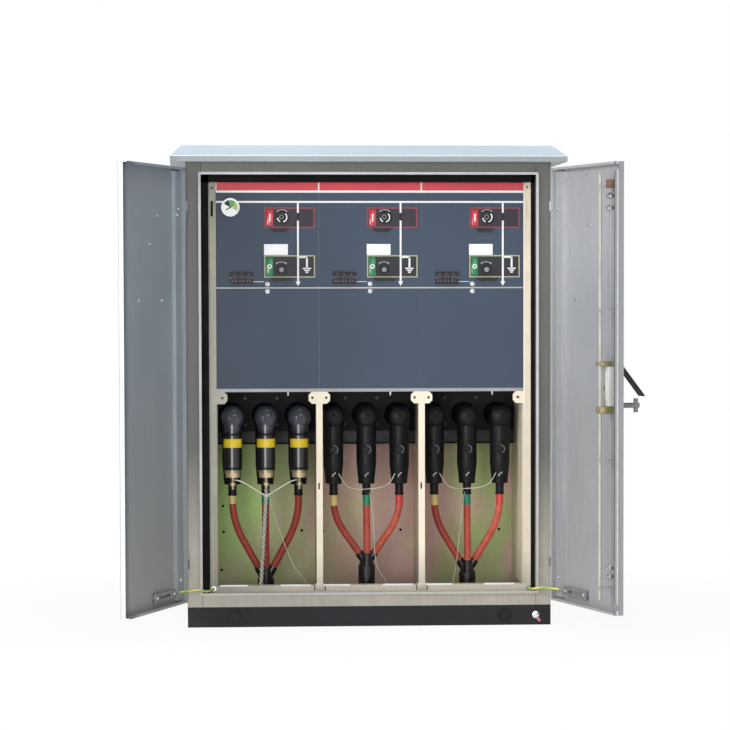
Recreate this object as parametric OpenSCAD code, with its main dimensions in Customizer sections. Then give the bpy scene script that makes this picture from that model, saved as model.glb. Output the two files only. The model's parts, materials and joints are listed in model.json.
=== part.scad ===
// Outdoor gas-insulated switchgear: a three-bay ring main unit in a sheet cabinet with two doors.
// The frame is in millimetres, X to the right, Y to the back and Z up, from the middle of the base.

/* [Cabinet] */
// Gap between the switchgear and each edge of the doorway
side_gap = 17; // [13:1:40]
// Gap between the switchgear and the back wall
rear_gap = 75; // [40:1:200]
// Gap between the switchgear and the roof
head_gap = 61; // [50:1:160]
// Height of the plinth under the body
plinth_h = 63; // [50:1:120]
// Depth of the folded plinth rails
plinth_d = 60; // [45:1:90]
// Thickness of the sheets of walls and frame
sheet_t = 3; // [2:0.5:5]
// Width of the jamb beside the doorway
jamb_w = 47; // [40:1:52]
// Gap between the seal rail and the lips of the closed doors
seal_clear = 5; // [5:1:10]
// How much higher the sill is than the header
sill_rise = 7; // [0:1:15]
// Depth of the folds behind jambs, header and sill
fold_d = 30; // [20:1:40]
// Width of the seal rail round the doorway
seal_w = 8; // [5:1:14]
// Height that the seal rail stands in front of the frame
seal_h = 12; // [6:1:12]
// Thickness of the floor plate
floor_t = 4; // [3:1:8]
// Radius of the anchor holes in the plinth
anchor_r = 7; // [5:0.5:10]

/* [Roof] */
// How far the roof stands out past the body
roof_over = 48; // [30:1:90]
// Height of the upright edge of the roof
fascia_h = 17; // [12:1:40]
// Rise of the slopes over that edge
slope_h = 38; // [20:1:80]
// Run of the slopes at the two ends
slope_end = 36; // [20:1:100]
// Run of the slopes at the front and back
slope_front = 110; // [60:1:200]

/* [Doors] */
// Opening of the left door as shown, in degrees
left_open = 108; // [90:1:110]
// Opening of the right door as shown, in degrees
right_open = 103.6; // [90:0.1:110]
// Thickness of the door pans
door_t = 28; // [24:1:36]
// Width of the folded lip round the inside of a pan
lip_w = 8; // [6:1:12]
// Distance from the hinge axis to the edge of a door
hinge_gap = 8; // [7.5:0.5:12]
// Distance from the hinge axis to the front of the frame
hinge_off = 8; // [8:0.5:12]
// Radius of the hinge barrels
barrel_r = 6; // [5:0.25:6.5]
// Length of a whole hinge
hinge_l = 60; // [40:1:90]
// Distance from a door's top and bottom to the ends of the frame
door_inset = 18; // [10:1:24]
// Half of the gap between the two closed doors
meet_gap = 3; // [2.5:0.5:6]
// Width of the stiffener on the hinge side of a door
stiff_w = 57; // [40:1:80]
// Height of that stiffener over the door skin
stiff_h = 12; // [8:1:16]

/* [Lock] */
// Radius of the lock rods
rod_r = 5; // [4:0.25:6]
// Distance of the rods from the free edge of the door
rod_in = 75; // [60:1:110]
// How far the rods stand inside the frame's front when closed
rod_back = 14; // [14:0.5:18]
// Travel of the rods for a quarter turn of the handle
rod_travel = 32; // [28:1:40]
// Gap between the drawn-back rods and the doorway's edges
rod_short = 15; // [10:1:20]
// Length of the handle in front of the door
handle_l = 78; // [60:1:90]
// Half length of the crossbar of the handle
cross_l = 21; // [16:1:24]
// Length of the lock cover flap
cover_l = 125; // [115:1:140]
// Lift of the flap as shown, in degrees from the door
cover_lift = 38; // [36:1:50]

/* [Switchgear] */
// Width of one module of the switchgear
pitch = 325; // [300:1:400]
// Width of the posts at its two ends
post_w = 23.5; // [18:0.5:24]
// Depth of the end posts
post_d = 40; // [30:1:60]
// Height of the cable bays with the base rail
bay_h = 674; // [600:1:800]
// Depth of the switchgear
unit_d = 765; // [680:1:900]
// Distance of its front behind the front of the cabinet
unit_back = 60; // [58:1:75]
// How far it stands off the middle to the right
unit_x = 7; // [-8:1:8]
// Thickness of the front panels
panel_t = 4; // [2:0.5:6]
// Height of the coloured strips at the top
stripe_h = 27; // [20:1:40]
// Height of the mimic panels
mimic_h = 303; // [290:1:330]
// Height of the cover panels
cover_h = 322; // [290:1:340]
// Height of the strip under the cover panels
strip_h = 10; // [6:1:16]
// Height of the base rail
base_h = 59; // [50:1:70]
// Depth of the cable bays
bay_d = 360; // [340:1:380]
// Depth from the panels to the front wall of the gas tank
tank_in = 280; // [270:1:290]
// Width of the posts between the bays
mid_w = 20; // [14:1:26]

/* [Cable terminations] */
// Distance between phases
phase = 106; // [100:1:110]
// Distance of the terminations to the left of each bay's middle
plug_shift = 6; // [2:0.5:8]
// Radius of the plug bodies
plug_r = 33; // [30:0.5:36]
// Distance of the connector legs in front of the tank
leg_out = 135; // [125:1:145]
// Radius of the cable cores
core_r = 11.5; // [10:0.25:12]
// Bend radius of the middle cores and the earth strap
bend_r = 60; // [50:1:70]
// Share of the largest possible bend radius that the outer cores take
hang_share = 0.8; // [0.6:0.02:0.9]
// Radius of the breakout boots
boot_r = 27; // [26:0.5:32]
// Radius of the surge arresters
arrester_r = 28.5; // [25:0.5:30]
// Distance of the arresters in front of the connector legs
arrester_out = 90; // [84:1:92]
// Length of the arresters below the plug axis
arrester_l = 168; // [160:1:174]
// Radius of the wires between the arresters and the earth strap
tie_r = 2; // [1.5:0.25:2.5]
// Radius of the screen and drain wires
screen_r = 1.6; // [1.25:0.05:2]

/* [Hidden] */
$fn = 40;

steel = [0.62, 0.64, 0.66];
pale_steel = [0.72, 0.73, 0.74];
charcoal = [0.16, 0.16, 0.17];
cream = [0.86, 0.82, 0.70];
slate = [0.29, 0.33, 0.39];
black = [0.05, 0.05, 0.05];
red = [0.78, 0.20, 0.26];
brick = [0.66, 0.28, 0.22];
brass = [0.72, 0.58, 0.30];
chrome = [0.80, 0.80, 0.82];
tin = [0.75, 0.75, 0.72];

unit_h = bay_h + strip_h + cover_h + mimic_h + stripe_h;
cab_w = 3 * pitch + 2 * (post_w + side_gap + jamb_w);
cab_d = unit_back + unit_d + rear_gap;
body_h = floor_t + unit_h + head_gap;
half_w = cab_w / 2;
front_y = -cab_d / 2;
back_y = cab_d / 2;
body_z = plinth_h;
top_z = plinth_h + body_h;
open_hw = half_w - jamb_w;
header_h = door_inset + lip_w + seal_clear + seal_w;
sill_h = header_h + sill_rise;
open_z0 = body_z + sill_h;
open_z1 = top_z - header_h;
roof_hw = half_w + roof_over;
roof_hd = back_y + roof_over;

unit_z = body_z + floor_t;
unit_top = unit_z + unit_h;
unit_y = front_y + unit_back;
unit_hw = 1.5 * pitch;
unit_left = unit_x - unit_hw - post_w;
unit_right = unit_x + unit_hw + post_w;
mimic_z1 = unit_top - stripe_h;
mimic_z0 = mimic_z1 - mimic_h;
cover_z0 = mimic_z0 - cover_h;
bay_top = unit_z + bay_h;
bay_back_y = unit_y + bay_d;
tank_y = unit_y + tank_in;
tank_z = bay_top - bay_h * 0.2374;
tank_back = unit_y + unit_d - 10;

plug_zz = unit_z + bay_h * 0.8783;
leg_y = tank_y - leg_out;
plug_tip = leg_y - 45;
neck_zz = unit_z + bay_h * 0.5;
leg_z = neck_zz + 35;
arrester_y = leg_y - arrester_out;
boot_z = [for (f = [0.160, 0.224, 0.187]) unit_z + bay_h * f];
finger = [core_r * 1.1, core_r * 0.62, core_r * 1.25];
finger_x = finger[0] + 12;
phase_x = min(phase, pitch / 2 - mid_w / 2 - plug_r - 7 - plug_shift);
hang_d = phase_x - finger_x;
hang_z = neck_zz - 14;
hang_r = [for (z = boot_z) hang_share * (pow(hang_d, 2) + pow(hang_z - z, 2)) / (2 * hang_d)];
hang_a = [for (k = [0 : 2]) atan2(hang_z - boot_z[k], hang_r[k] - hang_d)
    - acos(hang_r[k] / norm([hang_r[k] - hang_d, hang_z - boot_z[k]]))];
tie_z = plug_zz - arrester_l - 62;

door_y0 = 3 - door_t;
skin_y = door_y0 + sheet_t;
door_x1 = half_w - meet_gap;
door_z0 = body_z + door_inset;
door_z1 = top_z - door_inset;
handle_z = door_z0 + (door_z1 - door_z0) * 0.4623;
rod_x = door_x1 - rod_in;
rod_y = hinge_off + rod_back;
rod_bore = rod_r + 0.6;
rod_z0 = open_z0 + rod_short;
rod_z1 = open_z1 - rod_short;
lock_z0 = handle_z - 8;
lock_z1 = handle_z + 122;
lock_y = rod_y + 12;
cover_z = handle_z + 126;
cover_y = door_y0 - 9;
shaft_r = 8;
hinge_z = [door_z0 + body_h * 0.075, door_z1 - body_h * 0.1178];

// A box between two corners
module span(x0, x1, y0, y1, z0, z1) {
  translate([x0, y0, z0])
    cube([x1 - x0, y1 - y0, z1 - z0]);
}

// A folded rail with a web of height h, two flanges and closed ends, open towards +Y
module folded_rail(len, depth, h, t) {
  difference() {
    cube([len, depth, h]);
    translate([t, t, t])
      cube([len - 2 * t, depth, h - 2 * t]);
  }
}

// Stands the shape on a cabinet side, drawn for the left door in its closed place
module on_door(side) {
  turn = side < 0 ? left_open : right_open;
  if (side < 0)
    translate([-half_w, front_y - hinge_off, 0])
      rotate([0, 0, -turn])
        children();
  else
    mirror([1, 0, 0])
      translate([-half_w, front_y - hinge_off, 0])
        rotate([0, 0, -turn])
          children();
}

// Plinth: four folded rails with anchor holes in the lower flanges
module plinth_rail_long() {
  difference() {
    translate([-half_w, front_y, 0])
      folded_rail(cab_w, plinth_d, plinth_h, sheet_t);
    for (side = [-1, 1])
      translate([side * (half_w - 60), front_y + plinth_d / 2, -1])
        cylinder(h = sheet_t + 2, r = anchor_r);
  }
}

module plinth_front() {
  color(charcoal)
    plinth_rail_long();
}

module plinth_rear() {
  color(charcoal)
    mirror([0, 1, 0])
      plinth_rail_long();
}

module plinth_sides() {
  len = cab_d - 2 * plinth_d;
  color(charcoal)
    for (m = [0, 1])
      mirror([m, 0, 0])
        translate([-half_w, len / 2, 0])
          rotate([0, 0, -90])
            folded_rail(len, plinth_d, plinth_h, sheet_t);
}

module plinth_plugs() {
  color(black)
    for (side = [-1, 1])
      translate([side * cab_w * 0.372, front_y, plinth_h * 0.52])
        rotate([90, 0, 0]) {
          cylinder(h = 2, r = 23);
          cylinder(h = 4, r1 = 20, r2 = 18);
        }
}

module floor_plate() {
  color(steel)
    span(-half_w + sheet_t, half_w - sheet_t, front_y + fold_d, back_y - sheet_t, body_z, unit_z);
}

// Front frame: jambs from plinth to roof, header and sill between them
module left_jamb() {
  color(steel) {
    span(-half_w, -open_hw, front_y, front_y + sheet_t, body_z, top_z);
    span(-open_hw - sheet_t, -open_hw, front_y, front_y + fold_d, body_z, top_z);
  }
}

module right_jamb() {
  color(steel)
    mirror([1, 0, 0])
      left_jamb();
}

module header() {
  color(steel) {
    span(-open_hw, open_hw, front_y, front_y + sheet_t, open_z1, top_z);
    span(-open_hw, open_hw, front_y, front_y + fold_d, top_z - sheet_t, top_z);
  }
}

module sill() {
  color(steel) {
    span(-open_hw, open_hw, front_y, front_y + sheet_t, body_z, open_z0);
    span(-open_hw, open_hw, front_y, front_y + fold_d, body_z, body_z + sheet_t);
  }
}

// Seal rail: two uprights with cut outer corners and two crossbars between them
module seal_upright() {
  h = open_z1 - open_z0 + 2 * seal_w;
  cut = seal_w * 0.6;
  translate([open_hw, front_y, open_z0 - seal_w])
    rotate([90, 0, 0])
      linear_extrude(seal_h)
        polygon([[0, 0], [seal_w - cut, 0], [seal_w, cut], [seal_w, h - cut], [seal_w - cut, h], [0, h]]);
}

module seal_rail() {
  color(pale_steel) {
    for (m = [0, 1])
      mirror([m, 0, 0])
        seal_upright();
    for (z = [open_z0 - seal_w, open_z1])
      span(-open_hw + 0.4, open_hw - 0.4, front_y - seal_h, front_y, z, z + seal_w);
  }
}

module left_wall() {
  color(steel)
    span(-half_w, -half_w + sheet_t, front_y + sheet_t, back_y, body_z, top_z);
}

module right_wall() {
  color(steel)
    mirror([1, 0, 0])
      left_wall();
}

module back_wall() {
  color(steel)
    span(-half_w + sheet_t, half_w - sheet_t, back_y - sheet_t, back_y, body_z, top_z);
}

// Roof: a folded cap with four slopes, a flat top and a ledge that lies on the walls
module roof_shape(inset, z0, edge, top) {
  hull() {
    span(-roof_hw + inset, roof_hw - inset, -roof_hd + inset, roof_hd - inset, z0, z0 + edge);
    span(-roof_hw + slope_end + inset, roof_hw - slope_end - inset, -roof_hd + slope_front + inset,
      roof_hd - slope_front - inset, z0, z0 + top);
  }
}

module roof() {
  color(pale_steel)
    difference() {
      roof_shape(0, top_z, fascia_h, fascia_h + slope_h);
      roof_shape(sheet_t, top_z + sheet_t, fascia_h - sheet_t - 2, fascia_h + slope_h - 2 * sheet_t);
      span(-half_w + 40, half_w - 40, front_y + 40, back_y - 40, top_z - 1, top_z + sheet_t + 1);
    }
}

// Hinges: lower barrel, pin and leaf on the frame, upper barrel on the door
module frame_hinge() {
  cylinder(h = hinge_l / 2 - 0.5, r = barrel_r);
  cylinder(h = hinge_l - 4, r = barrel_r / 2);
  span(-3, 3, 0, hinge_off, 0, hinge_l / 2 - 0.5);
}

module frame_hinges() {
  color(steel)
    for (m = [0, 1])
      mirror([m, 0, 0])
        for (z = hinge_z)
          translate([-half_w, front_y - hinge_off, z])
            frame_hinge();
}

module door_hinge() {
  difference() {
    union() {
      translate([0, 0, hinge_l / 2 + 0.5])
        cylinder(h = hinge_l / 2, r = barrel_r);
      span(0, hinge_gap + 1, -3, 2, hinge_l / 2 + 0.5, hinge_l + 0.5);
    }
    cylinder(h = hinge_l + 2, r = barrel_r / 2 + 0.4);
  }
}

// Switchgear frame
module post_holes(heights) {
  for (z = heights)
    translate([post_w * 0.4, -1, z])
      rotate([-90, 0, 0])
        cylinder(h = 6, r = 3.2);
}

module half_bracket() {
  translate([0, panel_t, 0])
    rotate([90, 0, 0])
      linear_extrude(panel_t)
        polygon([[0, 0], [24, 0], [34, 10], [34, 28], [24, 38], [0, 38]]);
}

module end_post() {
  difference() {
    union() {
      span(0, post_w, 0, post_d, 0, unit_h);
      translate([post_w, 0, bay_top - unit_z - 38])
        half_bracket();
    }
    post_holes([unit_h * 0.28, unit_h * 0.36, unit_h * 0.63, unit_h * 0.78, unit_h * 0.985]);
    span(post_w * 0.32, post_w * 0.68, -1, 5, unit_h * 0.917, unit_h * 0.953);
  }
}

module end_posts() {
  color(cream) {
    translate([unit_left, unit_y, unit_z])
      end_post();
    translate([unit_right, unit_y, unit_z])
      mirror([1, 0, 0])
        end_post();
  }
}

module mid_post() {
  h = bay_top - unit_z - base_h;
  difference() {
    union() {
      span(-mid_w / 2, mid_w / 2, 0, 25, 0, h);
      for (m = [0, 1])
        mirror([m, 0, 0])
          translate([0, 0, h - 38])
            half_bracket();
    }
    for (x = [-22, 22])
      translate([x, -1, h - 19])
        rotate([-90, 0, 0])
          cylinder(h = panel_t + 2, r = 4);
    span(-3, 3, -1, 4, h * 0.52, h * 0.56);
  }
}

module mid_posts() {
  color(cream)
    for (side = [-1, 1])
      translate([unit_x + side * pitch / 2, unit_y, unit_z + base_h])
        mid_post();
}

module partition() {
  difference() {
    union() {
      span(-1.5, 1.5, unit_y + 25, tank_y, unit_z + base_h, bay_top);
      span(-1.5, 1.5, tank_y - 1, bay_back_y, unit_z + base_h, tank_z);
      span(-1.5, 1.5, unit_y + 40, bay_back_y, unit_z, unit_z + base_h + 1);
    }
    for (z = [unit_z + bay_h * 0.2225, unit_z + bay_h * 0.378])
      span(-5, 5, unit_y + 90, unit_y + 120, z, z + 30);
  }
}

module bay_partitions() {
  color(cream)
    for (side = [-1, 1])
      translate([unit_x + side * pitch / 2, 0, 0])
        partition();
}

module side_panels() {
  color(cream)
    for (x = [unit_left, unit_right - 3])
      span(x, x + 3, unit_y + post_d, unit_y + unit_d, unit_z, unit_top);
}

module bay_back_panel() {
  color([0.70, 0.72, 0.66])
    difference() {
      span(unit_left + 3, unit_right - 3, bay_back_y, bay_back_y + 3, unit_z, tank_z);
      for (i = [-1, 0, 1])
        for (p = [[-0.43, 0.43], [-0.425, 0.304], [0.363, 0.309], [-0.446, 0.119]])
          translate([unit_x + i * pitch + p[0] * pitch, bay_back_y - 1, unit_z + p[1] * bay_h])
            rotate([-90, 0, 0])
              cylinder(h = 5, r = 4.5);
    }
}

module base_rail() {
  color(cream)
    translate([unit_x - unit_hw, unit_y, unit_z])
      folded_rail(3 * pitch, 40, base_h, 2.5);
}

module lower_strip() {
  color(cream)
    span(unit_x - unit_hw, unit_x + unit_hw, unit_y, unit_y + 20, bay_top, cover_z0);
}

// Closed housings behind the panels: a welded tank with its back plate, and a box of three cells
module gas_tank() {
  color(black)
    difference() {
      span(unit_left + 20, unit_right - 20, tank_y, tank_back, tank_z, unit_top - 13);
      span(unit_left + 20 + sheet_t, unit_right - 20 - sheet_t, tank_y + sheet_t, tank_back + 1,
        tank_z + sheet_t, unit_top - 13 - sheet_t);
    }
}

module tank_back_plate() {
  color(black)
    span(unit_left + 20, unit_right - 20, tank_back, tank_back + sheet_t, tank_z, unit_top - 13);
}

module tank_stand() {
  color(steel)
    for (side = [-1, 1])
      translate([unit_x + side * (unit_hw - 30), 0, 0])
        difference() {
          span(-20, 20, bay_back_y + 3, tank_back, unit_z, tank_z);
          span(-20 + sheet_t, 20 - sheet_t, bay_back_y + 3 + sheet_t, tank_back + 1,
            unit_z + sheet_t, tank_z - sheet_t);
        }
}

module mechanism_box() {
  color(steel)
    difference() {
      span(unit_x - unit_hw + 2, unit_x + unit_hw - 2, unit_y + panel_t, tank_y, cover_z0, unit_top - 3);
      for (i = [-1, 0, 1])
        span(unit_x + (i - 0.5) * pitch + 4, unit_x + (i + 0.5) * pitch - 4, unit_y,
          tank_y - sheet_t, cover_z0 + sheet_t, unit_top - 3 - sheet_t);
    }
}

module panel_row(z0, z1) {
  for (i = [-1, 0, 1])
    span(unit_x + (i - 0.5) * pitch + 0.5, unit_x + (i + 0.5) * pitch - 0.5,
      unit_y, unit_y + panel_t, z0 + 0.5, z1 - 0.5);
}

module stripe_panels() {
  color(red)
    panel_row(mimic_z1, unit_top);
}

module mimic_panels() {
  color(slate)
    panel_row(mimic_z0, mimic_z1);
}

module cover_panels() {
  color(slate)
    panel_row(cover_z0, mimic_z0);
}

// Operating plates: a framed plate with a sunk field on each module
module framed_plate(w, h, rim) {
  difference() {
    span(0, w, -3, 0, 0, h);
    span(rim, w - rim, -4, -1.5, rim, h - rim);
  }
}

module at_module(i, x, z) {
  translate([unit_x + (i - 0.5) * pitch + x, unit_y, z])
    children();
}

module switch_plates() {
  color(red)
    for (i = [-1, 0, 1])
      at_module(i, pitch * 0.468, mimic_z1 - mimic_h * 0.389)
        framed_plate(pitch * 0.495, mimic_h * 0.218, 5);
}

module earth_plates() {
  color(cream)
    for (i = [-1, 0, 1])
      at_module(i, pitch * 0.468, mimic_z1 - mimic_h * 0.904)
        framed_plate(pitch * 0.495, mimic_h * 0.234, 4);
}

module switch_sockets() {
  color(chrome)
    for (i = [-1, 0, 1])
      at_module(i, pitch * 0.643, mimic_z1 - mimic_h * 0.276)
        rotate([90, 0, 0])
          difference() {
            translate([0, 0, 1.5])
              cylinder(h = 9, r = 17.5);
            translate([0, 0, 4])
              cylinder(h = 12, r = 9, $fn = 6);
          }
}

module earth_sockets() {
  color(steel)
    for (i = [-1, 0, 1])
      at_module(i, pitch * 0.634, mimic_z1 - mimic_h * 0.822)
        rotate([90, 0, 0]) {
          translate([0, 0, 1.5])
            cylinder(h = 9, r = 17);
          translate([0, 0, 10])
            cylinder(h = 9, r1 = 11, r2 = 9);
        }
}

module voltage_indicators() {
  color(black)
    for (i = [-1, 0, 1])
      at_module(i, pitch * 0.136, mimic_z1 - mimic_h * 0.97)
        span(0, pitch * 0.225, -8, 0, 0, mimic_h * 0.125);
}

module pressure_gauge() {
  color(chrome)
    at_module(-1, pitch * 0.1415, mimic_z1 - mimic_h * 0.172)
      rotate([90, 0, 0]) {
        cylinder(h = 10, r = 27);
        difference() {
          cylinder(h = 14, r = 29);
          translate([0, 0, 10])
            cylinder(h = 6, r = 25);
        }
      }
}

// Quarter of an ellipse, from the rim at height z to the crown on the axis
function crown(r, z, rise) = [for (k = [0 : 6]) [r * cos(k * 15), z + rise * sin(k * 15)]];

// Cable terminations: a plug body turned about its own axis, with a tapered leg and a neck
module plug_body(domed) {
  long = tank_y - leg_y + 34;
  front = domed ? crown(plug_r, long, plug_r * 0.5) : [[plug_r, long], [plug_r - 5, long + 11], [0, long + 11]];
  translate([0, tank_y, plug_zz])
    rotate([90, 0, 0])
      rotate_extrude()
        polygon(concat([[0, 0], [plug_r + 7, 0], [plug_r + 7, 10], [plug_r, 44]], front));
  translate([0, leg_y, neck_zz])
    rotate_extrude()
      polygon([[0, 0], [core_r + 1.5, 0], [core_r + 2, 35], [plug_r - 8, 37], [plug_r - 7, 44],
        [plug_r - 1, 102], [plug_r - 1, plug_zz - neck_zz], [0, plug_zz - neck_zz]]);
}

module test_cap() {
  translate([0, leg_y - 8, leg_z + 113])
    rotate([90, 0, 0])
      cylinder(h = plug_r - 4, r1 = 16, r2 = 13);
}

module at_phase(i, j) {
  translate([unit_x + i * pitch - plug_shift + j * phase_x, 0, 0])
    children();
}

module bay_connectors() {
  color(black)
    for (i = [-1, 0, 1])
      for (j = [-1, 0, 1])
        at_phase(i, j) {
          plug_body(i > -1);
          if (i > -1)
            test_cap();
        }
}

// Surge arresters: an elbow on the front of each connector of the first bay
module surge_arresters() {
  long = plug_tip - arrester_y + 8;
  color(black)
    for (j = [-1, 0, 1])
      at_phase(-1, j) {
        translate([0, plug_tip, plug_zz])
          rotate([90, 0, 0]) {
            cylinder(h = long, r = plug_r);
            translate([0, 0, long])
              scale([1, 1, 0.7])
                difference() {
                  sphere(r = plug_r + 4, $fn = 32);
                  translate([0, 0, -plug_r - 4])
                    cube(2 * plug_r + 8, center = true);
                }
          }
        translate([0, arrester_y, plug_zz - arrester_l])
          cylinder(h = arrester_l, r = arrester_r);
      }
}

module arrester_ends() {
  color(brass)
    for (j = [-1, 0, 1])
      at_phase(-1, j)
        translate([0, arrester_y, tie_z]) {
          translate([0, 0, 38])
            cylinder(h = 24, r1 = arrester_r - 6, r2 = arrester_r - 3);
          cylinder(h = 39, r = 6);
          translate([0, 0, 12])
            cylinder(h = 10, r = 11, $fn = 6);
        }
}

// A round core that steps sideways by d with two bends, from z_top down to z_low
module s_core(d, z_top, z_low, r) {
  drop = z_top - z_low - 24;
  k = d - 2 * bend_r;
  a = asin(2 * bend_r / norm([drop, k])) + atan2(k, drop);
  s = (d - 2 * bend_r * (1 - cos(a))) / sin(a);
  z_a = z_top - 12;
  p1 = [d - bend_r + bend_r * cos(a), z_a - bend_r * sin(a)];
  p2 = [p1[0] - s * sin(a), p1[1] - s * cos(a)];
  translate([d, 0, z_a])
    cylinder(h = z_top - z_a, r = r);
  core_bend([d - bend_r, z_a], bend_r, -a, a, r);
  translate([p2[0], 0, p2[1]])
    rotate([0, a, 0])
      cylinder(h = s, r = r);
  core_bend([p2[0] + bend_r * cos(a), p2[1] - bend_r * sin(a)], bend_r, 180 - a, a, r);
  translate([0, 0, z_low])
    cylinder(h = 12, r = r);
}

// One bend of a core, a little slimmer than the straights so that its ends lie inside them
module core_bend(centre, bend, from, turn, r) {
  translate([centre[0], 0, centre[1]])
    rotate([90, 0, 0])
      rotate([0, 0, from - 1])
        rotate_extrude(angle = turn + 2, $fn = 96)
          translate([bend, 0])
            circle(r - 0.15, $fn = 24);
}

// An outer core: it hangs from its neck, bends once and runs straight to a finger of the boot
module hung_core(k) {
  reach = norm([hang_r[k] - hang_d, hang_z - boot_z[k]]);
  translate([hang_d, 0, hang_z])
    cylinder(h = neck_zz - hang_z, r = core_r);
  core_bend([hang_d - hang_r[k], hang_z], hang_r[k], -hang_a[k], hang_a[k], core_r);
  translate([0, 0, boot_z[k]])
    rotate([0, hang_a[k], 0])
      cylinder(h = sqrt(reach * reach - hang_r[k] * hang_r[k]), r = core_r);
}

module at_bay(i, y, z) {
  translate([unit_x + i * pitch - plug_shift, y, z])
    children();
}

module cable_cores() {
  color(brick)
    for (i = [-1, 0, 1])
      at_bay(i, leg_y, 0) {
        for (m = [0, 1])
          mirror([m, 0, 0])
            translate([finger_x, 0, 0])
              hung_core(i + 1);
        translate([0, -finger[1] - finger[2], 0])
          rotate([0, 0, 90])
            s_core(finger[1] + finger[2], neck_zz, boot_z[i + 1], core_r);
      }
}

module cable_boots() {
  color(black)
    for (i = [-1, 0, 1])
      at_bay(i, leg_y - finger[1], unit_z) {
        h = boot_z[i + 1] - unit_z;
        cylinder(h = 45, r = boot_r - 4);
        translate([0, 0, 30])
          cylinder(h = h - 72, r = boot_r);
        translate([0, 0, h - 43])
          cylinder(h = 22, r1 = boot_r, r2 = boot_r - 8);
        for (m = [0, 1])
          mirror([m, 0, 0])
            translate([finger_x, finger[1], h])
              rotate([0, hang_a[i + 1], 0])
                translate([0, 0, -40])
                  cylinder(h = 40, r = core_r + 2.5);
        translate([0, -finger[2], h - 44])
          cylinder(h = 44, r = core_r + 2.5);
      }
}

module earth_strap() {
  color(tin)
    translate([unit_x - pitch - 26, arrester_y, 0])
      s_core(26 - plug_shift, tie_z, unit_z, 5);
}

// A wire through a list of points, with a bead at each turn
module wire(points, r) {
  last = len(points) - 1;
  for (k = [0 : last - 1]) {
    way = points[k + 1] - points[k];
    translate(points[k])
      rotate([0, acos(way[2] / norm(way)), atan2(way[1], way[0])])
        cylinder(h = norm(way), r = r, $fn = 16);
  }
  for (k = [1 : last - 1])
    translate(points[k])
      bead(points[k] - points[k - 1], points[k + 1] - points[k], r + 0.5);
}

// A bead whose poles and seam lie away from the two lengths of wire that meet in it
module bead(before, after, r) {
  pole = cross(before, after) / norm(cross(before, after));
  tilt = acos(pole[2]);
  turn = atan2(pole[1], pole[0]);
  start = [cos(turn) * cos(tilt), sin(turn) * cos(tilt), -sin(tilt)];
  outer = before / norm(before) - after / norm(after);
  rotate([0, tilt, turn])
    rotate([0, 0, atan2(pole * cross(start, outer), start * outer)])
      sphere(r = r, $fn = 24);
}

// Wires from the outer arresters to the earth strap, seated beside the bolts and the strap
module arrester_wires() {
  color(tin)
    at_bay(-1, arrester_y, tie_z)
      for (side = [-1, 1])
        wire([[side * (phase_x - 6.35), 0, 30], [side * (phase_x - 30), -5, 24],
            [side * (5.35 + tie_r * 0.52) - 0.4, 0, -18]], tie_r);
}

// Screen wires: each hangs from the outer connectors and passes in front of the middle neck
module screen_wires() {
  seat = plug_r - 7 + 6 * 26 / 58 + screen_r + 0.4;
  near = phase_x - seat * sin(30);
  color(tin)
    for (i = [0, 1])
      at_bay(i, leg_y, neck_zz)
        wire([[-near, -seat * cos(30), 70], [46 - phase_x, -24, 24], [0, -core_r - 2.4 - screen_r, 20],
            [phase_x - 46, -24, 28], [near, -seat * cos(30), 70]], screen_r);
}

// Drain wires: from the middle neck down past the boot to the floor
module drain_wires() {
  seat = core_r + 2.1 + screen_r;
  runs = [[1, 30, 84, 128], [1, 20, 28, 60], [-1, 20, 38, 48]];
  color(tin)
    for (i = [-1, 0, 1]) {
      run = runs[i + 1];
      at_bay(i, leg_y, unit_z)
        mirror([run[0] < 0 ? 1 : 0, 0, 0])
          wire([[9, -sqrt(seat * seat - 81), neck_zz - unit_z + 8], [run[1], -24, neck_zz - unit_z - 70],
              [run[2], -40, bay_h * 0.18], [run[3], -40, 60], [run[3] + 2, -40, 0.3]], screen_r);
    }
}

// Doors: folded pans with a lip, drawn closed and turned on their hinge axes.
// The free edge of the right door has two notches where it passes over the seal rail,
// and that of the left door is shallow over its whole height.
module door_pan(shallow) {
  edge_y = hinge_off - seal_h - seal_clear - 0.5;
  difference() {
    span(hinge_gap, door_x1, door_y0, 3, door_z0, door_z1);
    span(hinge_gap + sheet_t, door_x1 - sheet_t, skin_y, 3 - sheet_t, door_z0 + sheet_t, door_z1 - sheet_t);
    span(hinge_gap + lip_w, door_x1 - lip_w, skin_y, 4, door_z0 + lip_w, door_z1 - lip_w);
    if (shallow)
      span(door_x1 - lip_w - 1, door_x1 + 1, edge_y, 4, door_z0 + sheet_t, door_z1 - sheet_t);
    else
      for (z = [open_z0 - seal_w, open_z1])
        span(door_x1 - lip_w - 1, door_x1 + 1, edge_y, 4, z - seal_clear, z + seal_w + seal_clear);
  }
}

module door_with_hinges(shallow) {
  union() {
    door_pan(shallow);
    for (z = hinge_z)
      translate([0, 0, z])
        door_hinge();
  }
}

module stiffener() {
  span(hinge_gap + sheet_t + 3, hinge_gap + sheet_t + 3 + stiff_w, skin_y, skin_y + stiff_h,
    door_z0 + lip_w + 4, door_z1 - lip_w - 4);
}

// Stay: a flat bar on two spacers near the foot of the door
module stay_bar() {
  difference() {
    union() {
      span(door_x1 * 0.16, door_x1 * 0.5, skin_y + 8, skin_y + 12, door_z0 + 22, door_z0 + 50);
      for (x = [door_x1 * 0.186, door_x1 * 0.474])
        translate([x, skin_y, door_z0 + 36])
          rotate([-90, 0, 0])
            cylinder(h = 9, r = 9);
    }
    span(door_x1 * 0.23, door_x1 * 0.43, skin_y + 7, skin_y + 13, door_z0 + 32, door_z0 + 40);
  }
}

module left_door() {
  color(steel)
    on_door(-1)
      door_with_hinges(true);
}

module left_stiffener() {
  color(steel)
    on_door(-1)
      stiffener();
}

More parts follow.
